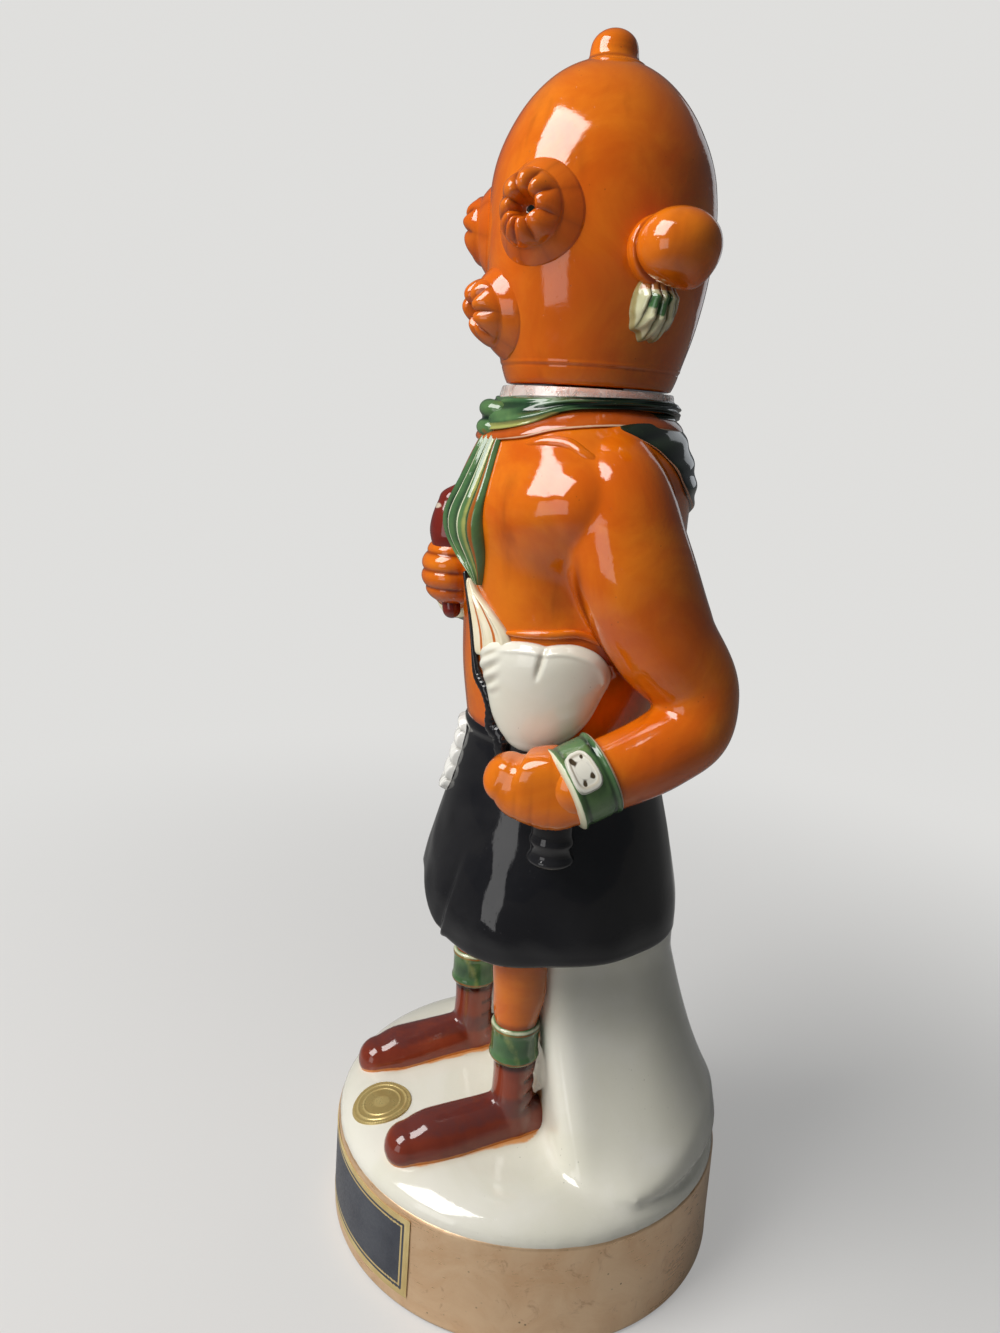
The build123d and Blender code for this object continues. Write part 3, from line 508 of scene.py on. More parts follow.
def make_label():
    """Printed label with nothing on it: slate blue-grey paper, pale gold border, fine paper tooth."""
    material, tree, shader = surface("label_paper", {"Specular IOR Level": 0.4, "Coat Weight": 0.15,
                                                     "Coat Roughness": 0.3})
    place = object_place(tree)
    tooth = cloud(tree, place, 1400.0, 3.0, 0.6)
    fade = cloud(tree, place, 70.0, 4.0, 0.6)
    colour = blend(tree, span(tree, fade, 0.3, 0.7), rgb(52, 56, 66), rgb(72, 76, 84))
    gold = blend(tree, span(tree, fade, 0.3, 0.7), rgb(206, 186, 130), rgb(188, 162, 104))
    colour = blend(tree, span(tree, tone_of(tree, "edge"), 0.4, 0.6), colour, gold)
    colour = blend(tree, span(tree, tooth, 0.6, 0.8, 0.0, 0.2), colour, rgb(150, 146, 136))
    dress(tree, shader, colour, span(tree, tooth, 0.3, 0.7, 0.38, 0.55),
          [(tooth, 0.015), (fade, 0.05)])
    return material


def make_foil():
    """Round foil sticker: brushed pale gold, with painted shade between its raised rings."""
    material, tree, shader = surface("sticker_foil", {"Metallic": 0.4, "Specular IOR Level": 0.5})
    place = object_place(tree)
    rub = cloud(tree, place, 260.0, 5.0, 0.65)
    colour = blend(tree, span(tree, rub, 0.35, 0.7), rgb(226, 206, 140), rgb(208, 184, 120))
    # Darkened between the raised rings: painted shade.
    colour = blend(tree, tone_of(tree, "pool"), colour, rgb(150, 124, 70))
    dress(tree, shader, colour, span(tree, rub, 0.3, 0.75, 0.24, 0.42),
          [(rub, 0.06)])
    return material


def make_film():
    """Remains of a shrink seal: thin, cloudy plastic with wrinkles."""
    material, tree, shader = surface("seal_film", {"IOR": 1.46, "Transmission Weight": 0.55,
                                                   "Coat Weight": 0.4, "Coat Roughness": 0.08})
    place = object_place(tree)
    crease = cloud(tree, place, 110.0, 4.0, 0.6, 1.5)
    colour = blend(tree, span(tree, crease, 0.35, 0.7), rgb(232, 226, 220), rgb(248, 246, 242))
    tree.links.new(span(tree, crease, 0.35, 0.7, 0.6, 0.88), shader.inputs["Alpha"])
    dress(tree, shader, colour, span(tree, crease, 0.3, 0.7, 0.16, 0.36), [(crease, 0.12)])
    return material


def make_cork():
    """Natural cork: warm tan with dark pores, lens-shaped flecks and a stained lower end."""
    material, tree, shader = surface("cork", {"Specular IOR Level": 0.25})
    place = object_place(tree)
    cells = put(tree, "ShaderNodeTexVoronoi", {"Vector": place, "Scale": 900.0}).outputs["Distance"]
    stretched = put(tree, "ShaderNodeMapping", {"Vector": place, "Scale": (1.0, 1.0, 2.6)}).outputs[0]
    pores = cloud(tree, stretched, 330.0, 4.0, 0.65, 0.8)
    broad = span(tree, cloud(tree, place, 120.0), 0.3, 0.7)
    colour = blend(tree, broad, rgb(198, 158, 110), rgb(176, 132, 84))
    colour = blend(tree, span(tree, pores, 0.58, 0.66), colour, rgb(84, 52, 28))
    height = put(tree, "ShaderNodeSeparateXYZ", {"Vector": place}).outputs["Z"]
    colour = blend(tree, span(tree, height, 0.243, 0.251, 0.65, 0.0), colour, rgb(92, 50, 26))
    dress(tree, shader, colour, span(tree, cells, 0.0, 0.6, 0.7, 0.9),
          [(cells, 0.08), (pores, -0.25)])
    return material


gold_lustre = make_gold()
label_paper = make_label()
sticker_foil = make_foil()
seal_film = make_film()
cork_bark = make_cork()


def finish(piece, material, slot, *nodes, body="bottle"):
    """Gives a piece its finish, the body it rides on and the nodes it stands for; the slot is not used."""
    piece.data.materials.clear()
    piece.data.materials.append(material)
    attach(piece, body)
    if nodes:
        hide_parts(*nodes)
    return piece


# Carriers: the surfaces that raised details are laid on

neck_height = 255.5
neck_centre = 2.0
neck_radius = 22.2
waist_height = 163.0
torso_half_width = 37.0
torso_front_depth = 32.5
torso_back_depth = 31.0
torso_shares = np.array([(0.0, 0.745, 0.80, 0.885), (0.16, 0.82, 0.86, 0.94), (0.35, 0.885, 0.885, 0.98),
                         (0.51, 0.94, 0.935, 1.0), (0.65, 0.99, 1.0, 1.0), (0.77, 0.985, 0.90, 0.985),
                         (0.865, 0.83, 0.79, 0.92), (0.94, 0.65, 0.67, 0.81)])
torso_heights = np.append(waist_height + torso_shares[:, 0] * (neck_height - waist_height), neck_height)
torso_wide = np.append(torso_half_width * torso_shares[:, 1], neck_radius)
torso_front = np.append(torso_front_depth * torso_shares[:, 2], neck_radius - neck_centre)
torso_back = np.append(torso_back_depth * torso_shares[:, 3], neck_radius + neck_centre)


def chest(angle, height):
    """Swell of the chest over each arm's root and the hollow under it, as height over the torso's ovals."""
    degrees = np.abs(signed_degrees(angle))
    swell = 3.6 * bell(degrees, 62.0, 30.0) * bell(height, 227.0, 11.0)
    flank = ease(height, 187, 201) * (1 - ease(height, 206, 216))
    hollow = 3.4 * bell(degrees, 66.0 + 0.8 * (206.0 - height), 16.0) * flank
    return swell - hollow


def torso_skin(angle, height, lift=0.0):
    """Ovals from waist to neck with the chest's swell, grown by the lift; angle is the oval's own."""
    angle, height, lift = np.broadcast_arrays(angle, height, lift)
    grown = lift + chest(angle, height)
    wide = through(height, torso_heights, torso_wide) + grown
    front = through(height, torso_heights, torso_front)
    back = through(height, torso_heights, torso_back)
    deep = (front + back) / 2 + grown
    middle = (back - front) / 2
    return np.stack([wide * np.sin(angle), middle - deep * np.cos(angle), height], axis=-1)


def torso_between(height, side, first, last, lift):
    """Place between two edges on the torso, each given as heights and the angles there in degrees."""
    start, end = through(height, *first), through(height, *last)
    return torso_skin(np.radians(start + (end - start) * (1 + side) / 2), height, lift)


def torso_outward(angle, height):
    """Direction in which the torso's skin grows."""
    return unit(torso_skin(angle, height, 2.0) - torso_skin(angle, height, 0.0))


def on_torso(angle, height):
    """Lays a pad on the torso about an angle in degrees and a height, across measured at the mean radius."""
    mean_radius = 30.0

    def lay(across, up, lift):
        return torso_skin(radians(angle) + across / mean_radius, height + up, lift)
    return lay


skirt_low = 97.0
skirt_radius = 39.3
skirt_centre = 1.5
skirt_shares = np.array([(0.0, 0.955), (0.045, 0.99), (0.15, 1.0), (0.35, 0.947), (0.55, 0.865),
                         (0.712, 0.794), (0.865, 0.728), (1.0, 0.688)])


def kilt_radius(height):
    """Radius of the kilt at a height: a smooth curve through its shares of the widest radius."""
    share = (height - skirt_low) / (waist_height - skirt_low)
    return skirt_radius * through(share, *skirt_shares.T)


def kilt_skin(angle, height, lift=0.0):
    """Turned surface of the kilt about its axis, grown by the lift."""
    angle, height, lift = np.broadcast_arrays(angle, height, lift)
    reach = kilt_radius(height) + lift
    return np.stack([reach * np.sin(angle), skirt_centre - reach * np.cos(angle), height], axis=-1)


head_low = 255.8
head_top = 335.6
head_radius = 29.6
head_shares = np.array([(0.0, 0.75), (0.035, 0.785), (0.11, 0.845), (0.2, 0.912), (0.31, 0.97), (0.46, 1.0),
                        (0.58, 0.992), (0.68, 0.95), (0.78, 0.84), (0.87, 0.68), (0.945, 0.46), (0.99, 0.2),
                        (1.0, 0.0)])
head_heights = head_low + head_shares[:, 0] * (head_top - head_low)
head_reach = head_radius * head_shares[:, 1]
head_steps = np.concatenate([[0], np.cumsum(np.hypot(np.diff(head_heights), np.diff(head_reach)))])
head_steps /= head_steps[-1]


def head_outline(share, lift=0.0):
    """Radius and height at a share of the way along the head's outline, moved out square to it."""
    radius = through(share, head_steps, head_reach)
    height = through(share, head_steps, head_heights)
    step = 1e-3
    before, after = np.clip(share - step, 0, 1), np.clip(share + step, 0, 1)
    run = through(after, head_steps, head_reach) - through(before, head_steps, head_reach)
    climb = through(after, head_steps, head_heights) - through(before, head_steps, head_heights)
    length = np.hypot(run, climb)
    return radius + lift * climb / length, height - lift * run / length


def head_skin(angle, share, lift=0.0):
    """The head's outline turned about its axis."""
    radius, height = head_outline(share, lift)
    angle, radius, height = np.broadcast_arrays(angle, radius, height)
    return np.stack([radius * np.sin(angle), neck_centre - radius * np.cos(angle), height], axis=-1)


def head_side(height):
    """Radius of the head at a height below its crown."""
    return through(height, head_heights[:-1], head_reach[:-1])


def facing_head(angle, height, tilt=0.0):
    """Lays a pad on the head along one direction: each point slides along it until it meets the head."""
    turn, lean = radians(angle), radians(tilt)
    outward = np.array([sin(turn) * cos(lean), -cos(turn) * cos(lean), sin(lean)])
    level = np.array([cos(turn), sin(turn), 0.0])
    upward = np.cross(outward, level)
    side = head_side(height)
    middle = np.array([side * sin(turn), neck_centre - side * cos(turn), height])
    stand_off, search, halvings = 16.0, 40.0, 28

    def lay(across, up, lift):
        start = middle + across[..., None] * level + up[..., None] * upward + stand_off * outward
        near, far = np.zeros(across.shape), np.full(across.shape, search)
        for _ in range(halvings):
            half = (near + far) / 2
            spot = start - half[..., None] * outward
            inside = np.hypot(spot[..., 0], spot[..., 1] - neck_centre) < head_side(spot[..., 2])
            near, far = np.where(inside, near, half), np.where(inside, half, far)
        return start + (lift - near)[..., None] * outward

    return lay


base_radius = 60.4
band_draw_in = 0.5
band_height = 32.6
leg_across = 21.0
leg_forward = 13.5
hands = ((1, "left"), (-1, "right"))


def band_side(height):
    """Radius of the band's flank, which draws in a little towards its top."""
    return base_radius - band_draw_in * height / band_height


def dome_height(radius):
    """Height of the base's top: an elliptic shoulder 19 mm deep, then a shallow dome."""
    edge, shoulder, top, shoulder_depth = 59.9, 8.4, 11.6, 19.0
    inset = edge - shoulder_depth
    across = np.clip((radius - inset) / (edge - inset), 0, 1)
    rim = shoulder * np.sqrt(1 - across ** 2)
    crown = (top - shoulder) * (1 - np.clip(radius / inset, 0, 1) ** 2.3)
    return band_height + rim + crown


# Base

def make_band():
    """Turned ring of the base with soft upper and lower edges, a foot ring and a recessed floor."""
    heel_round, lip_round = 1.5, 1.4
    heel = [(base_radius - heel_round * (1 - sin(a)), heel_round * (1 - cos(a)))
            for a in np.linspace(0, pi / 2, 8)]
    flank = [(band_side(z), z) for z in np.linspace(2.4, 30.6, 34)]
    lip = [(58.5 + lip_round * cos(a), 31.2 + lip_round * sin(a)) for a in np.linspace(0.1, pi / 2, 8)]
    top = [(54.0, 32.4), (0.0, 32.4)]
    floor = [(0.0, 2.5), (40.0, 2.5), (50.6, 2.5), (51.6, 2.2), (52.4, 1.0), (53.0, 0.3), (54.0, 0.0),
             (58.0, 0.0)]
    outline = np.array(floor + heel + flank + lip + top)
    grid = turned(outline, (0, 0, 0), (0, 0, 1), 256)
    radial = grid * (1, 1, 0)
    radial /= np.maximum(np.linalg.norm(radial, axis=-1, keepdims=True), 1e-6)
    on_flank = ((outline[:, 1] > 2) & (outline[:, 1] < 31) & (outline[:, 0] > 58))[:, None]
    grid -= radial * (np.abs(waver(grid, 0.12, 24, 3)) * on_flank)[..., None]
    # A dark line along the top edge, and painted shade along the foot where the band meets the floor.
    pool = 0.25 * bell(grid[..., 2], 32.2, 0.5) + bell(grid[..., 2], 0.0, 0.7)
    return skin("gold_band", grid, tones={"pool": np.clip(pool, 0, 1)})


finish(make_band(), gold_lustre, "gold_lustre", "base_band")


def boot_distance(points):
    """Distance in plan from the nearer boot: from the segment along its middle, less its half width."""
    toe, heel, half_width = -39.0, -12.0, 7.0
    along = np.clip(points[..., 1], toe, heel)
    return np.hypot(np.abs(points[..., 0]) - leg_across, points[..., 1] - along) - half_width


def dome_grid():
    """Top of the base: dome height turned about the axis, its edge carried down inside the band's lip."""
    radius = np.concatenate([np.linspace(0, 40, 50), 40 + 19.6 * np.sin(np.linspace(0.03, pi / 2, 40))])
    top = np.stack([radius, dome_height(radius)], axis=1)
    inside = [(59.6, 31.5), (59.4, 29.5), (50.0, 29.0), (0.0, 29.0)]
    return turned(np.concatenate([top, inside]), (0, 0, 0), (0, 0, 1), 200)


# Height, width, back, front and corner of the column, each as a share
column_shares = np.array([(0.0, 1.0, 1.0, 0.8, 1.0), (0.22, 0.9, 0.935, 0.85, 0.84),
                          (0.49, 0.75, 0.855, 1.0, 0.71), (0.7, 0.645, 0.8, 1.2, 0.63),
                          (1.0, 0.573, 0.72, 1.4, 0.57)])


def column_grid():
    """Rounded box section carried up from the dome into the kilt, its foot spreading into the dome."""
    foot, top, buried, climb, outline_climb = band_height + 7.5, 103.0, 1.0, 76.0, 64.4
    lift = np.concatenate([[-buried], np.linspace(-buried, climb, 60), [climb]])
    level = np.clip(lift / outline_climb, 0, 1)
    wide, back, front, corner = (through(level, column_shares[:, 0], part) for part in column_shares.T[1:])
    half, far, near = 48.0 * wide, 55.0 * back, -5.5 * front
    back_round = np.minimum(38.0 * corner, half - 0.5)
    front_round = 7.5 + 0 * half
    corners = ((1, near + front_round, front_round, -pi / 2, 16), (1, far - back_round, back_round, 0.0, 40),
               (-1, far - back_round, back_round, pi / 2, 40), (-1, near + front_round, front_round, pi, 16))
    rows = []
    for side, middle, radius, start, count in corners:
        turn = np.linspace(start, start + pi / 2, count)
        rows.append(np.stack([side * (half - radius)[:, None] + radius[:, None] * np.cos(turn),
                              middle[:, None] + radius[:, None] * np.sin(turn)], axis=-1))
    ring = np.concatenate(rows, axis=1)
    longest_step = 2.2
    dense = []
    for start in range(ring.shape[1]):
        here, after = ring[:, start], ring[:, (start + 1) % ring.shape[1]]
        steps = max(1, int(np.linalg.norm(after - here, axis=-1).max() / longest_step))
        dense.extend(here + (after - here) * step / steps for step in range(steps))
    ring = np.stack(dense, axis=1)
    height = foot + lift * (top - foot) / climb
    grid = np.concatenate([ring, np.broadcast_to(height[:, None, None], ring.shape[:2] + (1,))], axis=-1)
    spread = 9.0 * np.exp(-np.clip(height - 40.0, 0, 90) / 9.0)[:, None] * ease(grid[..., 1], -6.0, 16.0)
    grid[..., :2] += unit(grid[..., :2] - np.array([0.0, 22.0])) * spread[..., None]
    farthest = 57.5
    reach = np.hypot(grid[..., 0], grid[..., 1])
    drawn_in = (farthest + 0.25 * (reach - farthest)) / reach
    grid[..., :2] *= np.where(reach > farthest, drawn_in, 1.0)[..., None]
    return grid


def make_mound():
    """Dome and column in one glazed skin, tan where the boots' glaze bled into the cream, with painted shade
    close round the boots.
    """
    piece = fused("cream_mound", [dome_grid(), column_grid()], 1.1, 22)
    spots = points_of(piece)
    gap = boot_distance(spots)
    low = 1 - ease(spots[:, 2], 52, 62)
    paint(piece, "edge", 0.72 * (1 - ease(gap + waver(spots, 0.4, 9, 8), 0.2, 3.4)) * low)
    # Painted shade on the dome close round each boot.
    paint(piece, "pool", 0.4 * bell(gap, 0.5, 2.4) * low)
    return piece


finish(make_mound(), cream_glaze, "cream_glaze", "base_mound", "rear_column")


def make_label_panel():
    """Curved rectangle on the band: a closed sheet from its face to its back, with a raised border."""
    middle, half_wide, half_tall = 17.3, 40.8, 12.7

    def lay(across, up, lift):
        reach = band_side(middle + up) + lift
        angle = across / 60.0
        return np.stack([reach * np.sin(angle), -reach * np.cos(angle), middle + up], axis=-1)

    def outline(turn):
        level, upright = np.cos(turn), np.sin(turn)
        stretch = np.maximum(np.abs(level), np.abs(upright))
        return half_wide * level / stretch, half_tall * upright / stretch

    def from_rim(across, up):
        return np.minimum(half_wide - np.abs(across), half_tall - np.abs(up))

    def rise(share, turn, across, up):
        return 0.2 + 0.06 * bell(from_rim(across, up), 1.3, 0.5)

    def border(share, turn, across, up):
        rim = from_rim(across, up)
        return np.where((rim < 1.9) | (np.abs(rim - 3.0) < 0.28), 1.0, 0.0)

    return pad("label_panel", lay, outline, rise, rings=90, turns=360, root=0.25, tones={"edge": border})


finish(make_label_panel(), label_paper, "label_paper", "base_label")


def make_sticker():
    """Round foil on the dome with three embossed rings and a crimped rim."""
    radius = 9.0

    def lay(across, up, lift):
        x, y = 0.3 + across, -47.6 + up
        return np.stack([x, y, dome_height(np.hypot(x, y)) + 0.1 + lift], axis=-1)

    def rings(share, turn):
        reach = radius * share
        crimp = (0.5 + 0.5 * np.cos(72 * turn)) * bell(reach, 8.6, 0.5)
        boss = 1 - ease(reach, 2.0, 2.8)
        return bell(reach, 7.4, 0.35) + bell(reach, 5.6, 0.25) + 0.7 * crimp + 0.5 * boss

    def rise(share, turn, across, up):
        return (0.34 + 0.26 * rings(share, turn)) * (1 - 0.9 * ease(share, 0.97, 1.0))

    # Painted shade: the foil is darkened everywhere off its raised rings.
    def shade_between_rings(share, turn, across, up):
        return 0.55 * (1 - np.clip(rings(share, turn), 0, 1))

    return pad("foil_sticker", lay, lambda turn: (radius * np.cos(turn), radius * np.sin(turn)), rise,
               rings=60, turns=216, root=0.3, tones={"pool": shade_between_rings})


finish(make_sticker(), sticker_foil, "sticker_foil", "round_sticker")


# Legs, garters and boots

def upright_outline(radius, height):
    """Outline (radius, height) of an upright turned form, closed on the axis at both ends."""
    return np.concatenate([[(0, height[0])], np.stack([radius, height], axis=1), [(0, height[-1])]])


def make_leg(side, hand):
    """Bare leg: a tapering calf, a little fuller at the back, up into the kilt."""
    height = np.linspace(70.0, 112.0, 56)
    radius = through(height, (70, 77, 84, 92, 100, 112), (5.8, 6.2, 6.9, 7.5, 7.9, 8.2))
    grid = turned(upright_outline(radius, height), (side * leg_across, -leg_forward, 0), (0, 0, 1), 72)
    grid[..., 1] += 0.9 * bell(grid[..., 2], 88, 7) * (grid[..., 1] > -leg_forward)
    grid[..., :2] += waver(grid, 0.12, 15, 21)[..., None]
    # Painted shade on the leg just above the garter.
    piece = skin(hand + "_leg_clay", grid, tones={"pool": 0.6 * bell(grid[..., 2], 78.5, 1.4)})
    finish(piece, orange_glaze, "orange_glaze", hand + "_leg")


for side, hand in hands:
    make_leg(side, hand)


def make_garter(side, hand):
    """Garter drum: low pale rims with a shallow waist between them, its green glaze run in streaks."""
    foot, top, middle, half_tall, girth = 66.2, 78.2, 72.2, 6.05, 6.9
    height = np.concatenate([[foot + 0.4], np.linspace(foot, top, 64), [top - 0.4]])
    turn = np.linspace(0, 2 * pi, 96, endpoint=False)
    full = girth + 0.35 * bell(height, 76.9, 1.2) + 0.45 * bell(height, 67.6, 1.3)
    round_off = np.sqrt(np.clip(1 - ((height - middle) / half_tall) ** 10, 0, 1))
    radius = full * (0.82 + 0.18 * round_off)
    radius[0] = radius[-1] = 0.0
    rise, around = np.meshgrid(height, turn, indexing="ij")
    grid = np.stack([side * leg_across + radius[:, None] * np.sin(around),
                     -leg_forward - radius[:, None] * np.cos(around), rise], axis=-1)
    edge = np.maximum(0.55 * bell(rise, 77.6, 0.8), 0.5 * bell(rise, 66.5, 0.6))
    streak = 0.6 * np.clip(np.sin(5 * around + 1.2 * np.sin(3 * around) + 0.12 * rise), 0, 1) ** 6
    low = 0.55 * np.maximum(bell(rise, 67.4, 0.8), bell(rise, 76.9, 0.6))
    # Painted shade in the shallow waist between the rims.
    piece = skin(hand + "_garter_clay", grid, tones={
        "edge": edge, "patch": np.maximum(low, 0.6 * streak), "line": 0.28 + 0.3 * streak,
        "pool": 0.3 * bell(rise, 72, 2.6)})
    finish(piece, green_glaze, "green_glaze", hand + "_garter")


for side, hand in hands:
    make_garter(side, hand)


def make_boot(side, hand):
    """Boot: a foot from heel to blunt toe and a shaft, fused; notches behind the ankle."""
    notches, shaft_forward = (51.5, 56.0, 60.5), 13.0
    heel, toe = np.array([(side * leg_across, -6.5, 41.0), (side * leg_across, -44.5, 41.0)])
    share = np.linspace(0, 1, 46)
    path = heel + (toe - heel) * share[:, None]
    wide = through(share, (0, 0.2, 0.5, 0.8, 1.0), (5.8, 6.7, 7.6, 8.2, 6.8))
    tall = through(share, (0, 0.2, 0.45, 0.7, 0.9, 1.0), (10.6, 12.8, 11.6, 10.0, 8.6, 6.6))
    foot = tube(path, wide, tall, power=2.2, turns=56)
    height = np.linspace(38.0, 66.8, 70)
    girth = through(height, (38, 47, 54, 60, 66.8), (6.8, 6.7, 6.3, 6.1, 6.4))
    shaft = turned(upright_outline(girth, height), (side * leg_across, -shaft_forward, 0), (0, 0, 1), 72)
    behind = shaft[..., 1] > -shaft_forward
    for notch in notches:
        outside = bell(shaft[..., 0] - side * leg_across, 4.5 * side, 4.5)
        shaft[..., 1] -= 1.4 * bell(shaft[..., 2], notch, 0.9) * behind * outside
    piece = fused(hand + "_boot_clay", [foot, shaft], 0.6, 9)
    spots = points_of(piece)
    gap = spots[:, 2] - dome_height(np.hypot(spots[:, 0], spots[:, 1]))
    paint(piece, "edge", 0.85 * (1 - ease(gap, 0.1, 1.7)))
    cuts = sum(bell(spots[:, 2], notch, 0.8) for notch in notches)
    paint(piece, "patch", 0.56 * ease(gap, 3.0, 8.0) * (1 - ease(spots[:, 2], 54, 60)))
    # Painted shade at the shaft's top under the garter and in the notches behind the ankle.
    paint(piece, "pool", np.clip(0.8 * bell(spots[:, 2], 65.5, 1.2) + 0.7 * cuts * (spots[:, 1] > -12), 0, 1))
    finish(piece, boot_glaze, "boot_glaze", hand + "_boot")


for side, hand in hands:
    make_boot(side, hand)


# Kilt with its fringe

def hem_height(angle):
    """Lower edge of the kilt: low at the sides and back, an arch at the front, a corner at the left."""
    degrees = signed_degrees(angle)
    arch = 12.0 * bell(degrees, -14.0, 30.0) + 2.6 * ease(np.abs(degrees), 50, 85)
    corner = 4.2 * (1 - ease(degrees, 19.0, 24.0)) * ease(degrees, -10.0, 19.0)
    return 101.6 + arch * (1 - 0.28 * ease(degrees, 14.0, 24.0)) - 0.35 * corner


def make_kilt():
    """Kilt: its turned outline down to an arched hem, a rounded lip, the inner wall and a hidden ceiling."""
    turn = np.linspace(0, 2 * pi, 256, endpoint=False)
    hem = hem_height(turn)
    top, lip_radius, wall, ceiling = 163.8, 1.7, 3.6, 113.0
    degrees = signed_degrees(turn)
    rows = [kilt_skin(turn, 163.6, -20.0), kilt_skin(turn, 163.9, -1.2)]
    for share in np.linspace(0, 1, 96):
        height = top + (hem + lip_radius - top) * share
        waist = 0.75 * bell(height, 162.0, 1.6) - 0.25 * bell(height, 159.0, 1.5)
        fold = 20.0 + 0.25 * (height - 104.0)
        fade = 1 - ease(height, 112.0, 134.0)
        flap = (0.9 * ease(degrees, fold - 1.2, fold + 1.2) * (1 - ease(degrees, fold + 18, fold + 46))
                - 0.7 * bell(degrees, fold - 2.2, 2.0)) * fade
        folds = 0.35 * np.sin(9 * turn + 0.6 * np.sin(2 * turn)) * (1 - ease(height, 100, 140))
        rows.append(kilt_skin(turn, height, waist + flap + folds))
    edge = rows[-1]
    outward = np.stack([np.sin(turn), -np.cos(turn), 0 * turn], axis=1)
    for bend in np.linspace(0, pi, 10)[1:]:
        inward = lip_radius * (1 - np.cos(bend))
        rows.append(edge - outward * inward - np.array([0, 0, 1.0]) * (lip_radius * np.sin(bend)))
    rows.append(edge - outward * wall + np.array([0, 0, 5.0]))
    for share in (0.5, 0.0):
        rows.append(np.stack([share * edge[:, 0], share * edge[:, 1], np.full(len(turn), ceiling)], axis=1))
    grid = np.stack(rows)
    grid[2:-3] += waver(grid[2:-3], 0.12, 16, 31)[..., None] * outward
    return skin("kilt", grid)


finish(make_kilt(), black_glaze, "black_glaze", "skirt")


def make_fringe():
    """White fringe down the front of the kilt: five scallops standing one over another, each ribbed."""
    half_wide, half_tall, scallop = 7.6, 12.2, 4.9

    def lay(across, up, lift):
        return kilt_skin(radians(-19.0) + across / 31.0, 150.6 + up, lift)

    def outline(turn):
        level, upright = np.cos(turn), np.sin(turn)
        return (half_wide * np.sign(level) * np.abs(level) ** 0.5,
                half_tall * np.sign(upright) * np.abs(upright) ** 0.8)

    def steps(up):
        return np.abs(np.sin(pi * (up + half_tall) / scallop)) ** 0.7

    def rise(share, turn, across, up):
        ribs = 0.16 * np.cos(across * 3.4)
        return (1.0 + 1.5 * steps(up) + ribs) * (1 - ease(share, 0.86, 1.0)) - 0.1

    # Painted shade in the dips between the scallops.
    return pad("kilt_fringe", lay, outline, rise, rings=60, turns=160, tones={
        "pool": lambda share, turn, across, up: 0.85 * (1 - steps(up)) ** 2,
        "edge": lambda share, turn, across, up: 0.9 * ease(share, 0.93, 1.0)})


finish(make_fringe(), white_glaze, "cream_glaze", "skirt_fringe")


def make_bundle():
    """Black stick end under the left hand: turned, with two raised rims near its lower end."""
    foot, top, girth, foot_round = 133.4, 150.0, 5.4, 2.2
    height = np.linspace(foot, top, 80)
    radius = girth + 0.8 * bell(height, 136.0, 1.2) + 0.5 * bell(height, 141.0, 1.2)
    radius *= np.sqrt(np.clip(1 - np.clip((foot + foot_round - height) / foot_round, 0, 1) ** 2.4, 0, 1))
    return skin("held_bundle_end", turned(upright_outline(radius, height), (36.6, -13.2, 0), (0, 0, 1), 84))


finish(make_bundle(), black_glaze, "black_glaze", "held_bundle")


# Body: torso and arms in one skin

def torso_grid():
    """Outer skin from inside the kilt to the neck rim, then down the bore to a blind end."""
    turn = np.linspace(0, 2 * pi, 160, endpoint=False)
    rows = []
    for lift, height in ((-27.0, 156.0), (-6.0, 156.0), (-2.5, 158.0)):
        rows.append(torso_skin(turn, waist_height, lift))
        rows[-1][:, 2] = height
    for height in np.linspace(163.0, 254.9, 110):
        rows.append(torso_skin(turn, height, -0.15 + 0.3 * ease(height, 240, 250)))
    ring = np.stack([np.sin(turn), -np.cos(turn), 0 * turn], axis=1)
    rim_and_bore = ((21.6, 255.45), (20.6, 255.5), (11.6, 255.5), (10.7, 255.1), (10.3, 254.0), (10.2, 240.0),
                    (10.2, 226.0), (0.0, 225.0))
    for radius, height in rim_and_bore:
        rows.append(ring * radius + np.array([0, neck_centre, height]))
    return np.stack(rows)


def arm_grid(stops, radii):
    """Arm: a round section carried over shoulder, elbow and wrist, its radius on a smooth curve."""
    radius = through(np.linspace(0, 1, 120), *radii)
    return tube(course(stops, 120), radius, radius, up=(0.3, 0.2, 1.0), turns=64)


left_wrist = (41.0, -9.0, 158.0)


def shoulder_fill(side):
    """Egg of clay that rounds the chest into the shoulder."""
    half_wide, half_tall = 15.2, 13.5
    tilt = np.linspace(-pi / 2, pi / 2, 40)
    outline = np.stack([half_wide * np.cos(tilt), half_tall * np.sin(tilt)], axis=1)
    return turned(outline, (side * 25.0, -6.8, 226.5), (0, 0, 1), 72)


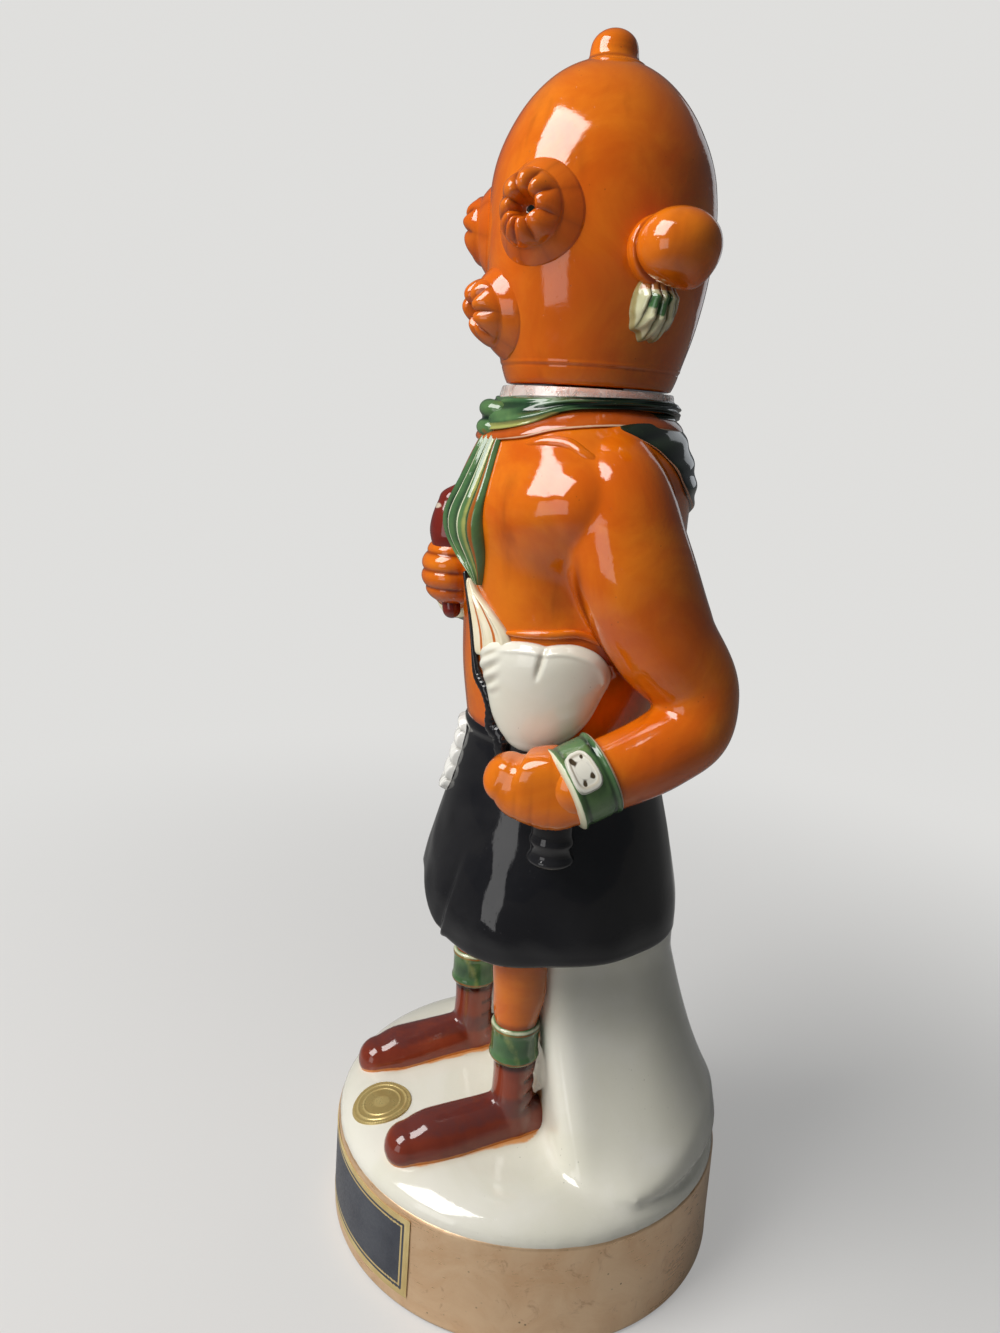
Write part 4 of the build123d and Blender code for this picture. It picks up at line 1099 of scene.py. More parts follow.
def make_body():
    """Torso, arms and shoulders in one clay skin, with painted shade along the arms' roots, in the flank's
    hollow and just above the kilt.
    """
    left_stops = [(22.0, 1.0, 238.0), (27.5, 0.5, 231.0), (32.0, 3.2, 215.0), (37.0, 12.6, 194.5),
                  (40.6, 21.6, 180.5), (42.6, 20.4, 172.6), (43.2, 13.0, 167.2), (42.0, 2.0, 161.6),
                  left_wrist]
    left_radii = ((0, 0.1, 0.27, 0.46, 0.6, 0.7, 0.84, 1.0), (10.5, 13.8, 15.8, 13.9, 11.6, 10.6, 10.0, 9.2))
    right_stops = [(-22.0, 1.0, 238.0), (-27.5, 0.5, 231.0), (-34.5, 4.0, 213.0), (-40.0, 11.0, 195.0),
                   (-41.3, 12.8, 187.0), (-39.5, 6.0, 186.5), (-34.0, -10.0, 191.5), (-26.0, -24.0, 198.5)]
    right_radii = ((0, 0.12, 0.32, 0.55, 0.66, 0.8, 1.0), (10.5, 13.6, 14.6, 11.8, 10.6, 10.0, 9.2))
    arms = [arm_grid(left_stops, left_radii), arm_grid(right_stops, right_radii)]
    piece = fused("clay_body", [torso_grid(), *arms, shoulder_fill(1), shoulder_fill(-1)], 0.8, 9)
    across, forward, height = points_of(piece).T
    beyond = np.abs(across) - through(height, torso_heights, torso_wide)
    armpit = ease(height, 170, 186) * (1 - ease(height, 208, 220))
    crease = bell(beyond, 0.5, 2.2) * bell(forward, 0.0, 16.0) * armpit
    hollow = 0.3 * bell(forward, -12.0, 7.0) * bell(np.abs(across), 28.0, 9.0) * bell(height, 203.0, 7.0)
    waist = 0.6 * bell(height, 163.5, 1.6) * (1 - ease(np.abs(across), 33, 36))
    # Painted shade where the arms meet the torso, in the flank's hollow and just above the kilt.
    paint(piece, "pool", np.clip(0.9 * crease + hollow + waist, 0, 1))
    return piece


finish(make_body(), orange_glaze, "orange_glaze", "torso", "neck", "left_arm", "right_arm")


# Hands

def make_left_hand():
    """Mitt-like fist: a boxy section from the wrist, its top flat and its underside drawing up to the tip."""
    share = np.linspace(0, 1, 60)
    wrist, tip = np.array((40.4, -10.0, 158.0)), np.array((31.4, -24.6, 156.3))
    path = wrist + (tip - wrist) * share[:, None]
    wide = through(share, (0, 0.3, 0.7, 1.0), (7.6, 8.2, 8.0, 6.6))
    tall = through(share, (0, 0.25, 0.6, 0.85, 1.0), (9.4, 10.4, 9.6, 8.0, 6.2))
    top = through(share, (0, 0.3, 1.0), (166.4, 166.4, 163.2))
    path[:, 2] = top - tall
    grid = tube(path, wide, tall, power=3.4, turns=96)
    low = 1 - ease(grid[..., 2], 152, 161)
    reach = (grid[..., :2] - wrist[:2]) @ unit((tip - wrist)[:2])
    grooves = sum(bell(reach, place, 0.7) for place in (4.5, 9.0, 13.5))
    grid[..., 2] += 0.15 * grooves * low
    # Painted shade in the grooves under the fingers.
    return skin("left_hand_clay", grid, tones={"pool": np.clip(0.2 * grooves * low, 0, 1)})


finish(make_left_hand(), orange_glaze, "orange_glaze", "left_hand")


def make_right_hand():
    """Fist on the chest: an egg of clay with four fingers stacked round the rattle's handle, and a thumb."""
    half_wide, half_deep, half_tall = 9.4, 9.0, 9.8
    turn = np.linspace(0, 2 * pi, 112, endpoint=False)
    tilt, around = np.meshgrid(np.linspace(-pi / 2, pi / 2, 84), turn, indexing="ij")
    height = half_tall * np.sin(tilt)
    front = 0.5 + 0.5 * np.cos(around)
    fingers = np.abs(np.sin(pi * (height + half_tall) / (half_tall / 2))) ** 0.55
    reach = np.cos(tilt) ** 0.72 * (1 + 0.11 * (fingers - 0.6) * ease(front, 0.25, 0.7))
    grid = np.stack([-14.2 + half_wide * reach * np.sin(around), -29.2 - half_deep * reach * np.cos(around),
                     203.8 + height], axis=-1)
    # Painted shade in the gaps between the fingers.
    gaps = (1 - fingers) ** 1.5 * ease(front, 0.25, 0.7)
    return skin("right_hand_clay", grid, tones={"pool": np.clip(gaps, 0, 1)})


finish(make_right_hand(), orange_glaze, "orange_glaze", "right_hand")


def make_wristband(name, node, elbow, wrist):
    """Band round the wrist: a drum with rolled rims, cream at both edges."""
    elbow, wrist = np.array(elbow), np.array(wrist)
    along = unit(wrist - elbow)
    length, before_wrist, girth, rim = 12.0, 7.6, 10.6, 0.6
    reach = np.linspace(0, 1, 60)
    radius = girth + rim * (bell(reach, 0.08, 0.06) + bell(reach, 0.92, 0.06)) + 0.2 * np.sin(pi * reach)
    ends = np.sqrt(np.clip(1 - (2 * reach - 1) ** 14, 0, 1))
    radius = radius * (0.86 + 0.14 * ends)
    outline = np.concatenate([[(0, 0.3)], np.stack([radius, length * reach], axis=1), [(0, length - 0.3)]])
    grid = turned(outline, wrist - along * before_wrist, along, 112)
    share = np.concatenate([[0], reach, [1]])[:, None]
    edge = np.broadcast_to(np.maximum(bell(share, 0.03, 0.05), bell(share, 0.97, 0.05)), grid.shape[:2])
    # Painted shade in the grooves just inside the rolled rims.
    pool = np.broadcast_to(0.6 * np.maximum(bell(share, 0.2, 0.05), bell(share, 0.8, 0.05)), grid.shape[:2])
    finish(skin(name, grid, tones={"edge": edge, "pool": pool}), green_glaze, "green_glaze", node)
    return along


forearm = make_wristband("left_wristband_clay", "left_wristband", (41.5, 24.0, 173.0), left_wrist)
make_wristband("right_wristband_clay", "right_wristband", (-37.2, -2.0, 189.1), (-26.7, -20.0, 197.1))


def make_plaque():
    """Rounded cream plaque on the outside of the left band, with a sunk field and five dark dabs."""
    band_radius, half_wide, half_tall, corner = 10.9, 3.7, 5.9, 3.2
    middle = np.array(left_wrist) - forearm * 0.4
    outward = np.array((0.86, -0.38, 0.34))
    outward = unit(outward - (outward @ forearm) * forearm)
    upward = np.cross(forearm, outward)
    upward = upward if upward[2] > 0 else -upward

    def lay(across, up, lift):
        turn = 0.2 + up / 11.4
        reach = band_radius + lift
        return (middle + across[..., None] * forearm + (reach * np.cos(turn))[..., None] * outward
                + (reach * np.sin(turn))[..., None] * upward)

    def outline(turn):
        level, upright = np.cos(turn), np.sin(turn)
        stretch = (np.abs(level) ** corner + np.abs(upright) ** corner) ** (1 / corner)
        return half_wide * level / stretch * (1 - 0.12 * upright / stretch), half_tall * upright / stretch

    def rise(share, turn, across, up):
        return (1.35 - 0.3 * (1 - ease(share, 0.60, 0.76))) * (1 - ease(share, 0.86, 1.0)) - 0.1

    def dabs(share, turn, across, up):
        places = ((1.5, 3.1, 0.8), (-1.2, 3.3, 0.5), (-1.5, -2.3, 0.55), (1.2, -3.2, 0.6))
        spots = sum(bell(np.hypot(across - x, (up - y) * 0.8), 0, size) for x, y, size in places)
        return spots + 0.42 * bell(np.hypot(across, up * 0.8), 1.9, 0.5)

    # Painted shade in a ring where the sunk field steps down.
    return pad("plaque_clay", lay, outline, rise, rings=40, turns=120, tones={
        "line": dabs, "pool": lambda share, turn, across, up: 0.5 * bell(share, 0.7, 0.07)})


finish(make_plaque(), cream_glaze, "cream_glaze", "wristband_plaque")


# Rattle

def make_gourd():
    """Rattle head: a pear, widest just over the fist and drawn in to a rounded top."""
    foot, top, top_round = 207.0, 228.6, 4.6
    height = np.linspace(foot, top, 90)
    radius = through(height, (foot, 210, 213.5, 218, 223, 226.5, top), (4.4, 6.2, 7.2, 6.9, 5.4, 3.6, 0.0))
    radius *= np.sqrt(np.clip(1 - np.clip((height - top + top_round) / top_round, 0, 1) ** 2.4, 0, 1))
    outline = np.concatenate([[(0, foot)], np.stack([radius, height], axis=1)])
    grid = turned(outline, (-13.6, -29.6, 0), (0, 0, 1), 96)
    grid += waver(grid, 0.12, 9, 41)[..., None]
    dab = 0.8 * bell(grid[..., 2], 222.0, 1.0) * bell(grid[..., 0], -13, 3)
    return skin("rattle_gourd", grid, tones={"edge": dab})


finish(make_gourd(), maroon_glaze, "maroon_glaze", "rattle_head")


def make_stick():
    """Rattle handle through the fist, a little thicker at its lower end."""
    stops = [(-14.6, -30.4, 214.0), (-14.0, -30.6, 203.0), (-13.0, -30.0, 195.0), (-12.7, -29.7, 192.4)]
    radius = 2.6
    wide = radius + 0.4 * bell(np.linspace(0, 1, 40), 0.97, 0.08)
    return skin("rattle_stick", tube(course(stops, 40), wide, radius, up=(0, 1, 0), turns=48))


finish(make_stick(), maroon_glaze, "maroon_glaze", "rattle_handle")


# Scarf

def make_collar():
    """Neck scarf: a flat twisted roll round the neck, tall at the knot and slim over the shoulders."""
    turn = np.linspace(0, 2 * pi, 280, endpoint=False)
    across = np.linspace(0, 2 * pi, 64, endpoint=False)
    degrees = np.abs(signed_degrees(turn))
    places = (0, 15, 41, 52, 83, 113, 180)
    height = through(degrees, places, (247.8, 248.2, 249.7, 250.8, 251.9, 252.2, 250.5))
    tall = through(degrees, places, (4.4, 4.4, 3.2, 2.2, 1.5, 1.5, 2.5))
    thick = through(degrees, places, (2.4, 2.3, 2.0, 1.7, 1.4, 1.4, 1.6))
    around, section = np.meshgrid(turn, across, indexing="ij")
    ridges = 0.34 * np.cos(5 * section + 4 * around) + 0.2 * np.cos(9 * section - 3 * around)
    lift = 0.9 + thick[:, None] * np.cos(section) + ridges * np.clip(np.cos(section) + 0.3, 0, 1)
    level = height[:, None] + tall[:, None] * np.sin(section)
    grid = torso_skin(around, level, lift)
    low = ease(-np.sin(section), 0.3, 0.85) * (np.cos(section) > -0.2)
    olive = 0.8 * low * (1 - ease(degrees[:, None], 46, 60))
    # Painted shade in the furrows between the twists, and growing towards the back, on the side turned from
    # the lamps.
    furrows = np.clip(0.5 - 1.6 * ridges, 0, 1) * (np.cos(section) > 0)
    pool = np.clip(0.7 * furrows + 0.8 * ease(degrees[:, None], 48, 80), 0, 1)
    return skin_ring("neck_scarf", grid, {"line": olive, "pool": pool})


finish(make_collar(), green_glaze, "green_glaze", "scarf_collar")


def make_knot():
    """Scarf knot: two stacked rolls of cloth fused together."""
    upper = [(-4.0, -23.0, 248.9), (-2.0, -24.9, 249.1), (1.6, -25.1, 248.9), (3.8, -23.2, 248.5)]
    lower = [(-3.8, -23.2, 244.2), (-1.8, -25.3, 244.3), (1.7, -25.5, 244.1), (3.7, -23.6, 243.8)]
    rolls = [tube(course(stops, 30), wide, 2.5, turns=36) for stops, wide in ((upper, 2.8), (lower, 3.0))]
    piece = fused("scarf_knot_clay", rolls, 0.4, 4)
    spots = points_of(piece)
    # Painted shade in the crease between the rolls and under the lower one.
    paint(piece, "pool", np.clip(bell(spots[:, 2], 246.6, 0.7) + bell(spots[:, 2], 241.6, 0.8), 0, 1))
    paint(piece, "patch", 0.55 * bell(np.hypot(spots[:, 0] - 3.2, spots[:, 2] - 243.0), 0, 1.8))
    return piece


finish(make_knot(), green_glaze, "green_glaze", "scarf_knot")


def make_tail():
    """Hanging end of the scarf: pleated cloth down the chest, cut back to a point at its left."""
    top, length = 242.6, 39.4
    first = ((203.2, 206.5, 210, 214, 220, 230, 236, 242), (15.5, 9, -2, -10, -14, -9, -5, -2))
    last = ((203.2, 208, 213, 218, 226, 233, 242), (17.5, 20, 22, 23, 23, 20.5, 18))

    def lay(way, side, lift):
        return torso_between(top - length * way, side, first, last, lift)

    def pleats(side):
        return sum(bell((1 + side) / 2, place, 0.075) for place in (0.2, 0.45, 0.70, 0.95))

    def rise(way, side):
        body = 0.7 + 2.1 * bell(top - length * way, 216.5, 8.0)
        return body * tapered(way, side, 8, 16) + 1.1 * pleats(side) * (1 - side ** 8)

    def stripe(place, width, strength):
        return lambda way, side: strength * bell((1 + side) / 2, place, width)

    # Pale lines on two pleat ridges and along the point's edge: partly pale glaze, partly painted highlight.
    def highlight_and_shade_lines(way, side):
        both = stripe(0.45, 0.022, 1.0)(way, side) + stripe(0.70, 0.022, 1.0)(way, side)
        return 0.72 * (both + 0.9 * bell(side, -1, 0.05))

    # Painted shade lies in the valleys between the pleats.
    return strip("scarf_hanging_end", lay, rise, rows=150, columns=120, tones={
        "patch": stripe(0.9, 0.05, 0.95), "line": stripe(0.79, 0.055, 0.6), "edge": highlight_and_shade_lines,
        "pool": lambda way, side: 0.8 * np.clip(1 - 1.3 * pleats(side), 0, 1) ** 1.5})


finish(make_tail(), green_glaze, "green_glaze", "scarf_tail")


def make_drape():
    """Scarf over the back: a triangle of cloth from the collar to a point, with sagging folds, its green
    painted dark as shade.
    """
    def places(way, side):
        degrees = 84.0 + 192.0 * way
        turned_back = 180.0 - np.abs(degrees - 180.0)
        low = through(turned_back, (83.5, 100, 111, 120, 125, 140, 160, 180),
                      (245.8, 242.9, 239.6, 235.5, 232.3, 228.0, 224.0, 222.0))
        return degrees, (250.5 + low) / 2 + side * (250.5 - low) / 2

    def lay(way, side, lift):
        degrees, height = places(way, side)
        return torso_skin(np.radians(degrees), height, lift)

    def folds(way, side):
        degrees, height = places(way, side)
        return np.cos(height * 1.05 + ((degrees - 180.0) / 38.0) ** 2)

    def rise(way, side):
        return (1.0 + 0.28 * folds(way, side)) * tapered(way, side, 10, 20)

    # A pale line along the lower border, partly pale glaze and partly a painted highlight; painted shade in
    # the valleys between the folds.
    return strip("scarf_back_fold", lay, rise, rows=220, columns=110, tones={
        "edge": lambda way, side: 0.75 * bell(side, -0.97, 0.035),
        "pool": lambda way, side: 0.7 * (0.5 - 0.5 * folds(way, side)) ** 2})


# The drape takes the shaded copy of the green glaze: painted shade.
finish(make_drape(), shaded_green_glaze, "green_glaze", "scarf_drape")


def make_shoulder_roll():
    """Orange fold under the scarf: a low roll round the neck's foot with a pale line along its lower edge,
    partly a painted highlight.
    """
    turn = np.linspace(0, 2 * pi, 240, endpoint=False)
    across = np.linspace(0, 2 * pi, 40, endpoint=False)
    degrees = np.abs(signed_degrees(turn))
    places = (0, 22, 34, 50, 67, 84, 120, 180)
    height = through(degrees, places, (242.0, 243.0, 244.2, 246.6, 248.0, 248.6, 248.0, 246.0))
    tall = through(degrees, places, (1.5, 1.6, 2.0, 2.3, 2.5, 2.4, 2.0, 1.4))
    around, section = np.meshgrid(turn, across, indexing="ij")
    grid = torso_skin(around, height[:, None] + tall[:, None] * np.sin(section),
                      0.1 + 1.25 * np.cos(section) * np.ones_like(around))
    # A pale line along the lower ridge, partly pale glaze and partly a painted highlight; the upper face is
    # browner.
    pale = bell(np.sin(section), -0.8, 0.14) * (np.cos(section) > 0)
    brown = 0.5 * bell(np.sin(section), 0.5, 0.35)
    return skin_ring("shoulder_roll", grid, {"edge": 0.7 * pale, "pool": brown})


finish(make_shoulder_roll(), shoulder_glaze, "orange_glaze")


def body_cord(name, stops, girth, lift):
    """Thin raised fold on the torso through stops of angle in degrees and height."""
    route = course(stops, 60)
    angle, height = np.radians(route[:, 0]), route[:, 1]
    radius = girth * (0.35 + 0.65 * np.sin(np.linspace(0.05, pi - 0.05, 60)) ** 0.5)
    grid = tube(torso_skin(angle, height, lift), radius, radius, up=torso_outward(angle, height), turns=32)
    return skin(name, grid)


shoulder_stops = [(35, 240.5), (49, 241.5), (60, 240.9), (67, 239.0), (72.5, 237.8)]
finish(body_cord("shoulder_crease", shoulder_stops, 1.9, -1.35), orange_glaze, "orange_glaze")


# Waist: pouch, folds and strap

def make_pouch():
    """Hip pouch: a flat lobe with a rounded rim, a notch at its top and ruffles along its front edge."""
    thickness = 3.4
    outline = loop([(-20.2, 8.8), (-9.8, 13.8), (-2.0, 14.3), (0.0, 14.0), (2.0, 14.5), (9.7, 14.6),
                    (15.3, 11.9), (18.6, 6.9), (17.0, 1.1), (13.8, -6.5), (8.4, -12.2), (2.4, -15.4),
                    (-9.0, -15.2), (-14.8, -9.0), (-17.9, 1.5)])

    def ruffles(across, up):
        return np.cos((up - 0.6 * across) * 1.5) * (1 - ease(across, -14.5, -9.5)) * ease(up, -3.0, 2.0)

    def notch(across, up):
        return bell(across, 0.115 * (up - 13.0), 0.75) * ease(up, 4.0, 9.0)

    def rise(share, turn, across, up):
        plateau = thickness * np.clip(1 - share ** 4.5, 0, 1) ** 0.5
        seam = 0.35 * bell(share, 0.86, 0.05) * (up > 5)
        marks = (0.55 * ruffles(across, up) - 0.9 * notch(across, up)) * (1 - share ** 6)
        return plateau + marks + seam - 0.2

    # Painted shade in the dips between the ruffles and in the notch.
    return pad("hip_pouch", on_torso(57.0, 176.5), outline, rise, rings=70, turns=240, tones={
        "pool": lambda share, turn, across, up: 0.4 * np.clip(-ruffles(across, up), 0, 1)
        + 0.3 * notch(across, up)})


finish(make_pouch(), cream_glaze, "cream_glaze", "waist_pouch")
seam_stops = [(36, 192.3), (57, 193.5), (75, 194.0), (90, 191.0)]
finish(body_cord("waist_seam", seam_stops, 1.2, 0.0), orange_glaze, "orange_glaze")


def make_waist_folds():
    """Streaked folds between the fist and the pouch: a fan of pleats, cream over ochre."""
    top, length = 204.5, 20.5
    first = ((184, 190.5, 199, 204.5), (14.0, 11.0, 7.5, 6.0))
    last = ((184, 186, 191.2, 196.7, 202.6, 204.5), (36.0, 38.0, 37.5, 27.5, 12.5, 10.0))

    def lay(way, side, lift):
        return torso_between(top - length * way, side, first, last, lift)

    def pleats(side):
        return sum(bell((1 + side) / 2, place, 0.07) for place in (0.1, 0.45, 0.85))

    def rise(way, side):
        return (0.9 + 0.75 * pleats(side)) * tapered(way, side, 8, 14)

    def valleys(way, side):
        return 0.8 * sum(bell((1 + side) / 2, place, 0.05) for place in (0.28, 0.65))

    # Painted shade along the folds' edges, where they meet the torso.
    return strip("waist_folds", lay, rise, rows=90, columns=90, tones={
        "edge": valleys, "pool": lambda way, side: 0.5 * bell(np.abs(side), 1.0, 0.12)})


finish(make_waist_folds(), streaked_glaze, "cream_glaze")


def make_strap():
    """Black strap down the belly: it widens downwards, its edges saw-cut, with a painted highlight as a pale
    line along one side.
    """
    stops = [(205.4, 4.3), (199, 6.9), (190.5, 10.5), (184.8, 13.3), (179, 16.6), (174, 24.7), (170.8, 27.1),
             (165.4, 27.3), (162.3, 34), (157, 34.8)]
    route = course(stops, 170)
    height, angle = route[:, 0], np.radians(route[:, 1])
    share = np.linspace(0, 1, 170)
    wide = through(height, (157, 160, 170, 178, 184, 205.4), (1.6, 2.2, 1.7, 1.45, 0.85, 0.7))
    saw = 1 + 0.2 * (np.abs(((share * 30) % 1) * 2 - 1) - 0.5) * ease(share, 0.3, 0.5)
    grid = tube(torso_skin(angle, height, 0.7), wide * saw, 0.6 + 0.5 * wide, up=torso_outward(angle, height),
                turns=48)
    across = np.cos(np.linspace(0, 2 * pi, 48, endpoint=False))[None, :]
    # A pale line along one side of the lower strap: a painted highlight.
    line = bell(across, 0.92, 0.12) * ease(np.linspace(0, 1, len(grid)), 0.3, 0.5)[:, None]
    return skin("chest_strap", grid, tones={"edge": 0.75 * line * np.ones(grid.shape[:2])})


finish(make_strap(), black_glaze, "black_glaze", "chest_feather")


# Head

def make_head():
    """Mask: the head's outline turned, with the rim line low down, an underside and a blind cork socket."""
    share = np.concatenate([np.linspace(0, 0.16, 70), np.linspace(0.165, 1.0, 130)])
    radius, height = head_outline(share)
    rim = 0.1 * bell(height, 261.2, 0.4) - 0.12 * bell(height, 260.5, 0.3)
    radius = radius + rim
    underside = [(0.0, 264.6), (9.4, 264.6), (9.75, 264.0), (9.75, 257.2), (10.4, 256.2), (11.6, 255.85),
                 (20.6, 255.85), (21.6, 255.95)]
    outline = np.concatenate([underside, np.stack([radius, height], axis=1)])
    outline[len(underside):, 1] += 0.35 * bell(share, 0, 0.01)
    grid = turned(outline, (0, neck_centre, 0), (0, 0, 1), 224)
    outward = unit(grid - np.array([0, neck_centre, 290.0]))
    clear = (np.arange(len(outline)) > len(underside) + 8)[:, None]
    grid += outward * (waver(grid, 0.22, 34, 51) * clear * ease(grid[..., 2], 262, 270))[..., None]
    # Painted shade in the groove under the rim line.
    pool = 0.3 * bell(grid[..., 2], 260.4, 0.4)
    return skin("mask_head", grid, tones={"pool": pool})


finish(make_head(), orange_glaze, "orange_glaze", "head_shell", body="head")


def make_topknot():
    """Topknot: a dome on short upright sides that spread into the crown."""
    dome_foot, dome_radius, dome_rise = 338.0, 6.05, 4.95
    outline = [(0.0, 329.0), (8.6, 330.0), (8.3, 334.4), (7.2, 335.0), (6.5, 335.8), (6.2, 336.8),
               (6.1, dome_foot)]
    dome = [(dome_radius * cos(a), dome_foot + dome_rise * sin(a)) for a in np.linspace(0.06, pi / 2, 26)]
    rounded = course(outline[1:] + dome[:1], 40)
    grid = turned(np.concatenate([outline[:1], rounded, dome[1:]]), (0, neck_centre, 0), (0, 0, 1), 112)
    # Painted shade where the knob's sides draw in above its spreading foot.
    return skin("topknot_knob", grid, tones={"pool": 0.55 * bell(grid[..., 2], 335.2, 0.8)})


finish(make_topknot(), orange_glaze, "orange_glaze", "topknot", body="head")


def make_pinched_ring(name, node, angle, height, tilt, base, ring, rise, lobes, hollow, seed):
    """Clay boss pinched into lobes round a hollow.

    Height over the head: a smooth hill up to the ring, a half-round ring cut by sharp creases (one minus
    the root of a sine) between uneven lobes, less an oval hollow in the middle.
    """
    draw = np.random.default_rng(seed)
    shifts = draw.uniform(0, 2 * pi, 4)
    uneven = draw.uniform(0.7, 1.2, 4)
    middle, half = ring
    flank, crown = rise

    def lobe_turn(turn):
        once, twice = np.sin(turn + shifts[0]), np.sin(2 * turn + shifts[1])
        return turn + 0.17 * uneven[0] * once + 0.1 * uneven[1] * twice

    def creases(turn):
        return 1 - np.abs(np.sin(lobes * lobe_turn(turn) / 2 + shifts[2])) ** 0.75

    def cut(reach, turn):
        depth = through(reach, (0, middle, middle + 0.6 * half, middle + half), (0.5, 0.45, 0.55, 0.3))
        return creases(turn) * depth

    def outline(turn):
        reach = base * (1 - 0.012 * np.cos(3 * turn + shifts[3]))
        return reach * np.cos(turn), reach * 0.97 * np.sin(turn)

    def sunk(across, up):
        return 1 - ease(np.hypot(across / hollow[0], up / hollow[1]), 0.25, 1.15)

    def lift(share, turn, across, up):
        reach = share * base
        hill = flank * (1 - share ** 2.8)
        round_ring = crown * np.clip(1 - ((reach - middle) / half) ** 2, 0, 1) ** 0.5
        puff = 1 + 0.2 * np.sin(2 * lobe_turn(turn) + shifts[3])
        return (hill + round_ring * puff * (1 - cut(reach, turn)) - (0.55 * flank + 0.3) * sunk(across, up)
                - 0.2 * ease(share, 0.97, 1.0))

    # Painted shade in the creases between the lobes and in the sunk hollow.
    def crease_and_hollow_shade(share, turn, across, up):
        reach = share * base
        shade = 1.2 * cut(reach, turn) * ease(reach, 0.25 * middle, 0.6 * middle)
        return np.clip(shade + 0.6 * sunk(across, up), 0, 1)

    def spot(share, turn, across, up):
        return 1.0 - ease(np.hypot(across, up + 0.2), 0.7, 1.7)

    piece = pad(name, facing_head(angle, height, tilt), outline, lift, rings=110, turns=288, root=2.0,
                tones={"pool": crease_and_hollow_shade, "edge": spot})
    finish(piece, ring_glaze, "orange_glaze", node, body="head")


for side, hand, seed in ((1, "left", 61), (-1, "right", 62)):
    make_pinched_ring(hand + "_eye_lobes", hand + "_eye_ring", side * 35.0, 295.0, tilt=8.0, base=12.6,
                      ring=(5.7, 3.4), rise=(4.4, 2.8), lobes=9, hollow=(4.0, 3.0), seed=seed)
make_pinched_ring("mouth_lobes", "mouth_ring", 0.0, 272.8, tilt=0.0, base=11.6,
                  ring=(5.2, 3.4), rise=(5.0, 2.9), lobes=7, hollow=(2.8, 3.4), seed=64)


def make_ear(side, hand):
    """Ear: a flange on the head, a groove and a ball with a blunt lower tip."""
    turn, height, ball_radius, ball_reach = radians(side * 96.0), 287.5, 8.8, 9.4
    outward = np.array([sin(turn), -cos(turn), 0.0])
    root = np.array([0, neck_centre, height]) + outward * head_side(height)
    ball = [(ball_radius * sin(a), ball_reach * (1 - cos(a))) for a in np.linspace(0.78, pi, 70)]
    flange = course([(7.4, -6.0), (8.0, -1.0), (8.3, 0.8), (8.0, 2.0), (7.1, 2.4), (6.5, 2.6), ball[0]], 44)
    grid = turned(np.concatenate([[(0, -6.0)], flange, ball[1:]]), root, outward, 120)
    level = np.array([cos(turn), sin(turn), 0.0])
    grid += (0.12 * ((grid - root) @ level) * ease((grid - root) @ outward, 1.5, 6.0))[..., None] * level
    from_ball = grid - (root + outward * ball_reach)
    tip = bell(np.linalg.norm(unit(from_ball) - unit((0.25 * side, 0.35, -1.0)), axis=-1), 0, 0.45)
    grid += from_ball * (0.12 * tip * ((from_ball @ outward) > -6))[..., None]
    grid += waver(grid, 0.15, 14, 71)[..., None]
    depth = (grid - root) @ outward
    # Painted shade in the groove between the flange and the ball.
    piece = skin(hand + "_ear_ball", grid, tones={"pool": 0.8 * bell(depth, 2.9, 0.8)})
    finish(piece, orange_glaze, "orange_glaze", hand + "_ear", body="head")


for side, hand in hands:
    make_ear(side, hand)


def make_pendant(side, hand):
    """Ear pendant: a stubby bunch of feather tips under the ear, grooved, with a scalloped lower edge."""
    half_wide, half_tall, swell = 5.9, 8.2, 6.4

    def outline(turn):
        level, upright = np.cos(turn), np.sin(turn)
        low = ease(-upright, 0.1, 0.7)
        scallop = 1 + 0.06 * low * np.cos(10 * turn)
        return (half_wide * level * scallop,
                half_tall * np.sign(upright) * np.abs(upright) ** 0.9 * scallop)

    def fan(across, up):
        return across / (3.4 + 0.2 * (8.0 - up))

    def quills(across, up):
        return np.abs(np.cos(pi * 2.1 * fan(across, up) + 0.3)) ** 0.6

    def rise(share, turn, across, up):
        body = swell * np.clip(1 - share ** 3, 0, 1) ** 0.5 * (0.72 + 0.28 * ease(-up, -7.0, 1.0))
        step = 0.7 * bell(up, 1.8, 0.9) + 0.5 * bell(up, -3.2, 0.8)
        grooves = 0.74 + 0.26 * quills(across, up) * (1 - 0.6 * ease(up, 2, 5))
        return body * grooves + step * (1 - share ** 4) - 0.2

    def leaves(share, turn, across, up):
        places = ((-2.8, 0.6, 1.3), (0.4, 1.6, 1.2), (-0.6, -1.4, 0.9))
        patches = sum(bell(np.hypot(across - x * side, (up - y) * 0.6), 0, size) for x, y, size in places)
        return 0.9 * np.clip(patches, 0, 1) + 0.25 * (1 - quills(across, up))

    # Brown over the top; the darker brown down the back side is painted shade.
    def brown(share, turn, across, up):
        return 0.8 * np.maximum(ease(up, 2.2, 4.2), 0.75 * ease(across * side, 2.6, 4.6))

    # Painted shade in the grooves between the quills.
    def highlight_and_shade_lines(share, turn, across, up):
        return 0.8 * (1 - quills(across, up)) * (1 - ease(up, 2, 5))

    lay = facing_head(side * 98.0, 275.2)
    piece = pad(hand + "_pendant_feathers", lay, outline, rise, rings=60, turns=176, root=2.0, tones={
        "edge": leaves, "patch": brown, "pool": highlight_and_shade_lines,
        "line": lambda share, turn, across, up: 0.6 * bell(share, 0.98, 0.06)})
    finish(piece, pendant_glaze, "cream_glaze", hand + "_ear_pendant", body="head")


for side, hand in hands:
    make_pendant(side, hand)


# What is left of the seal

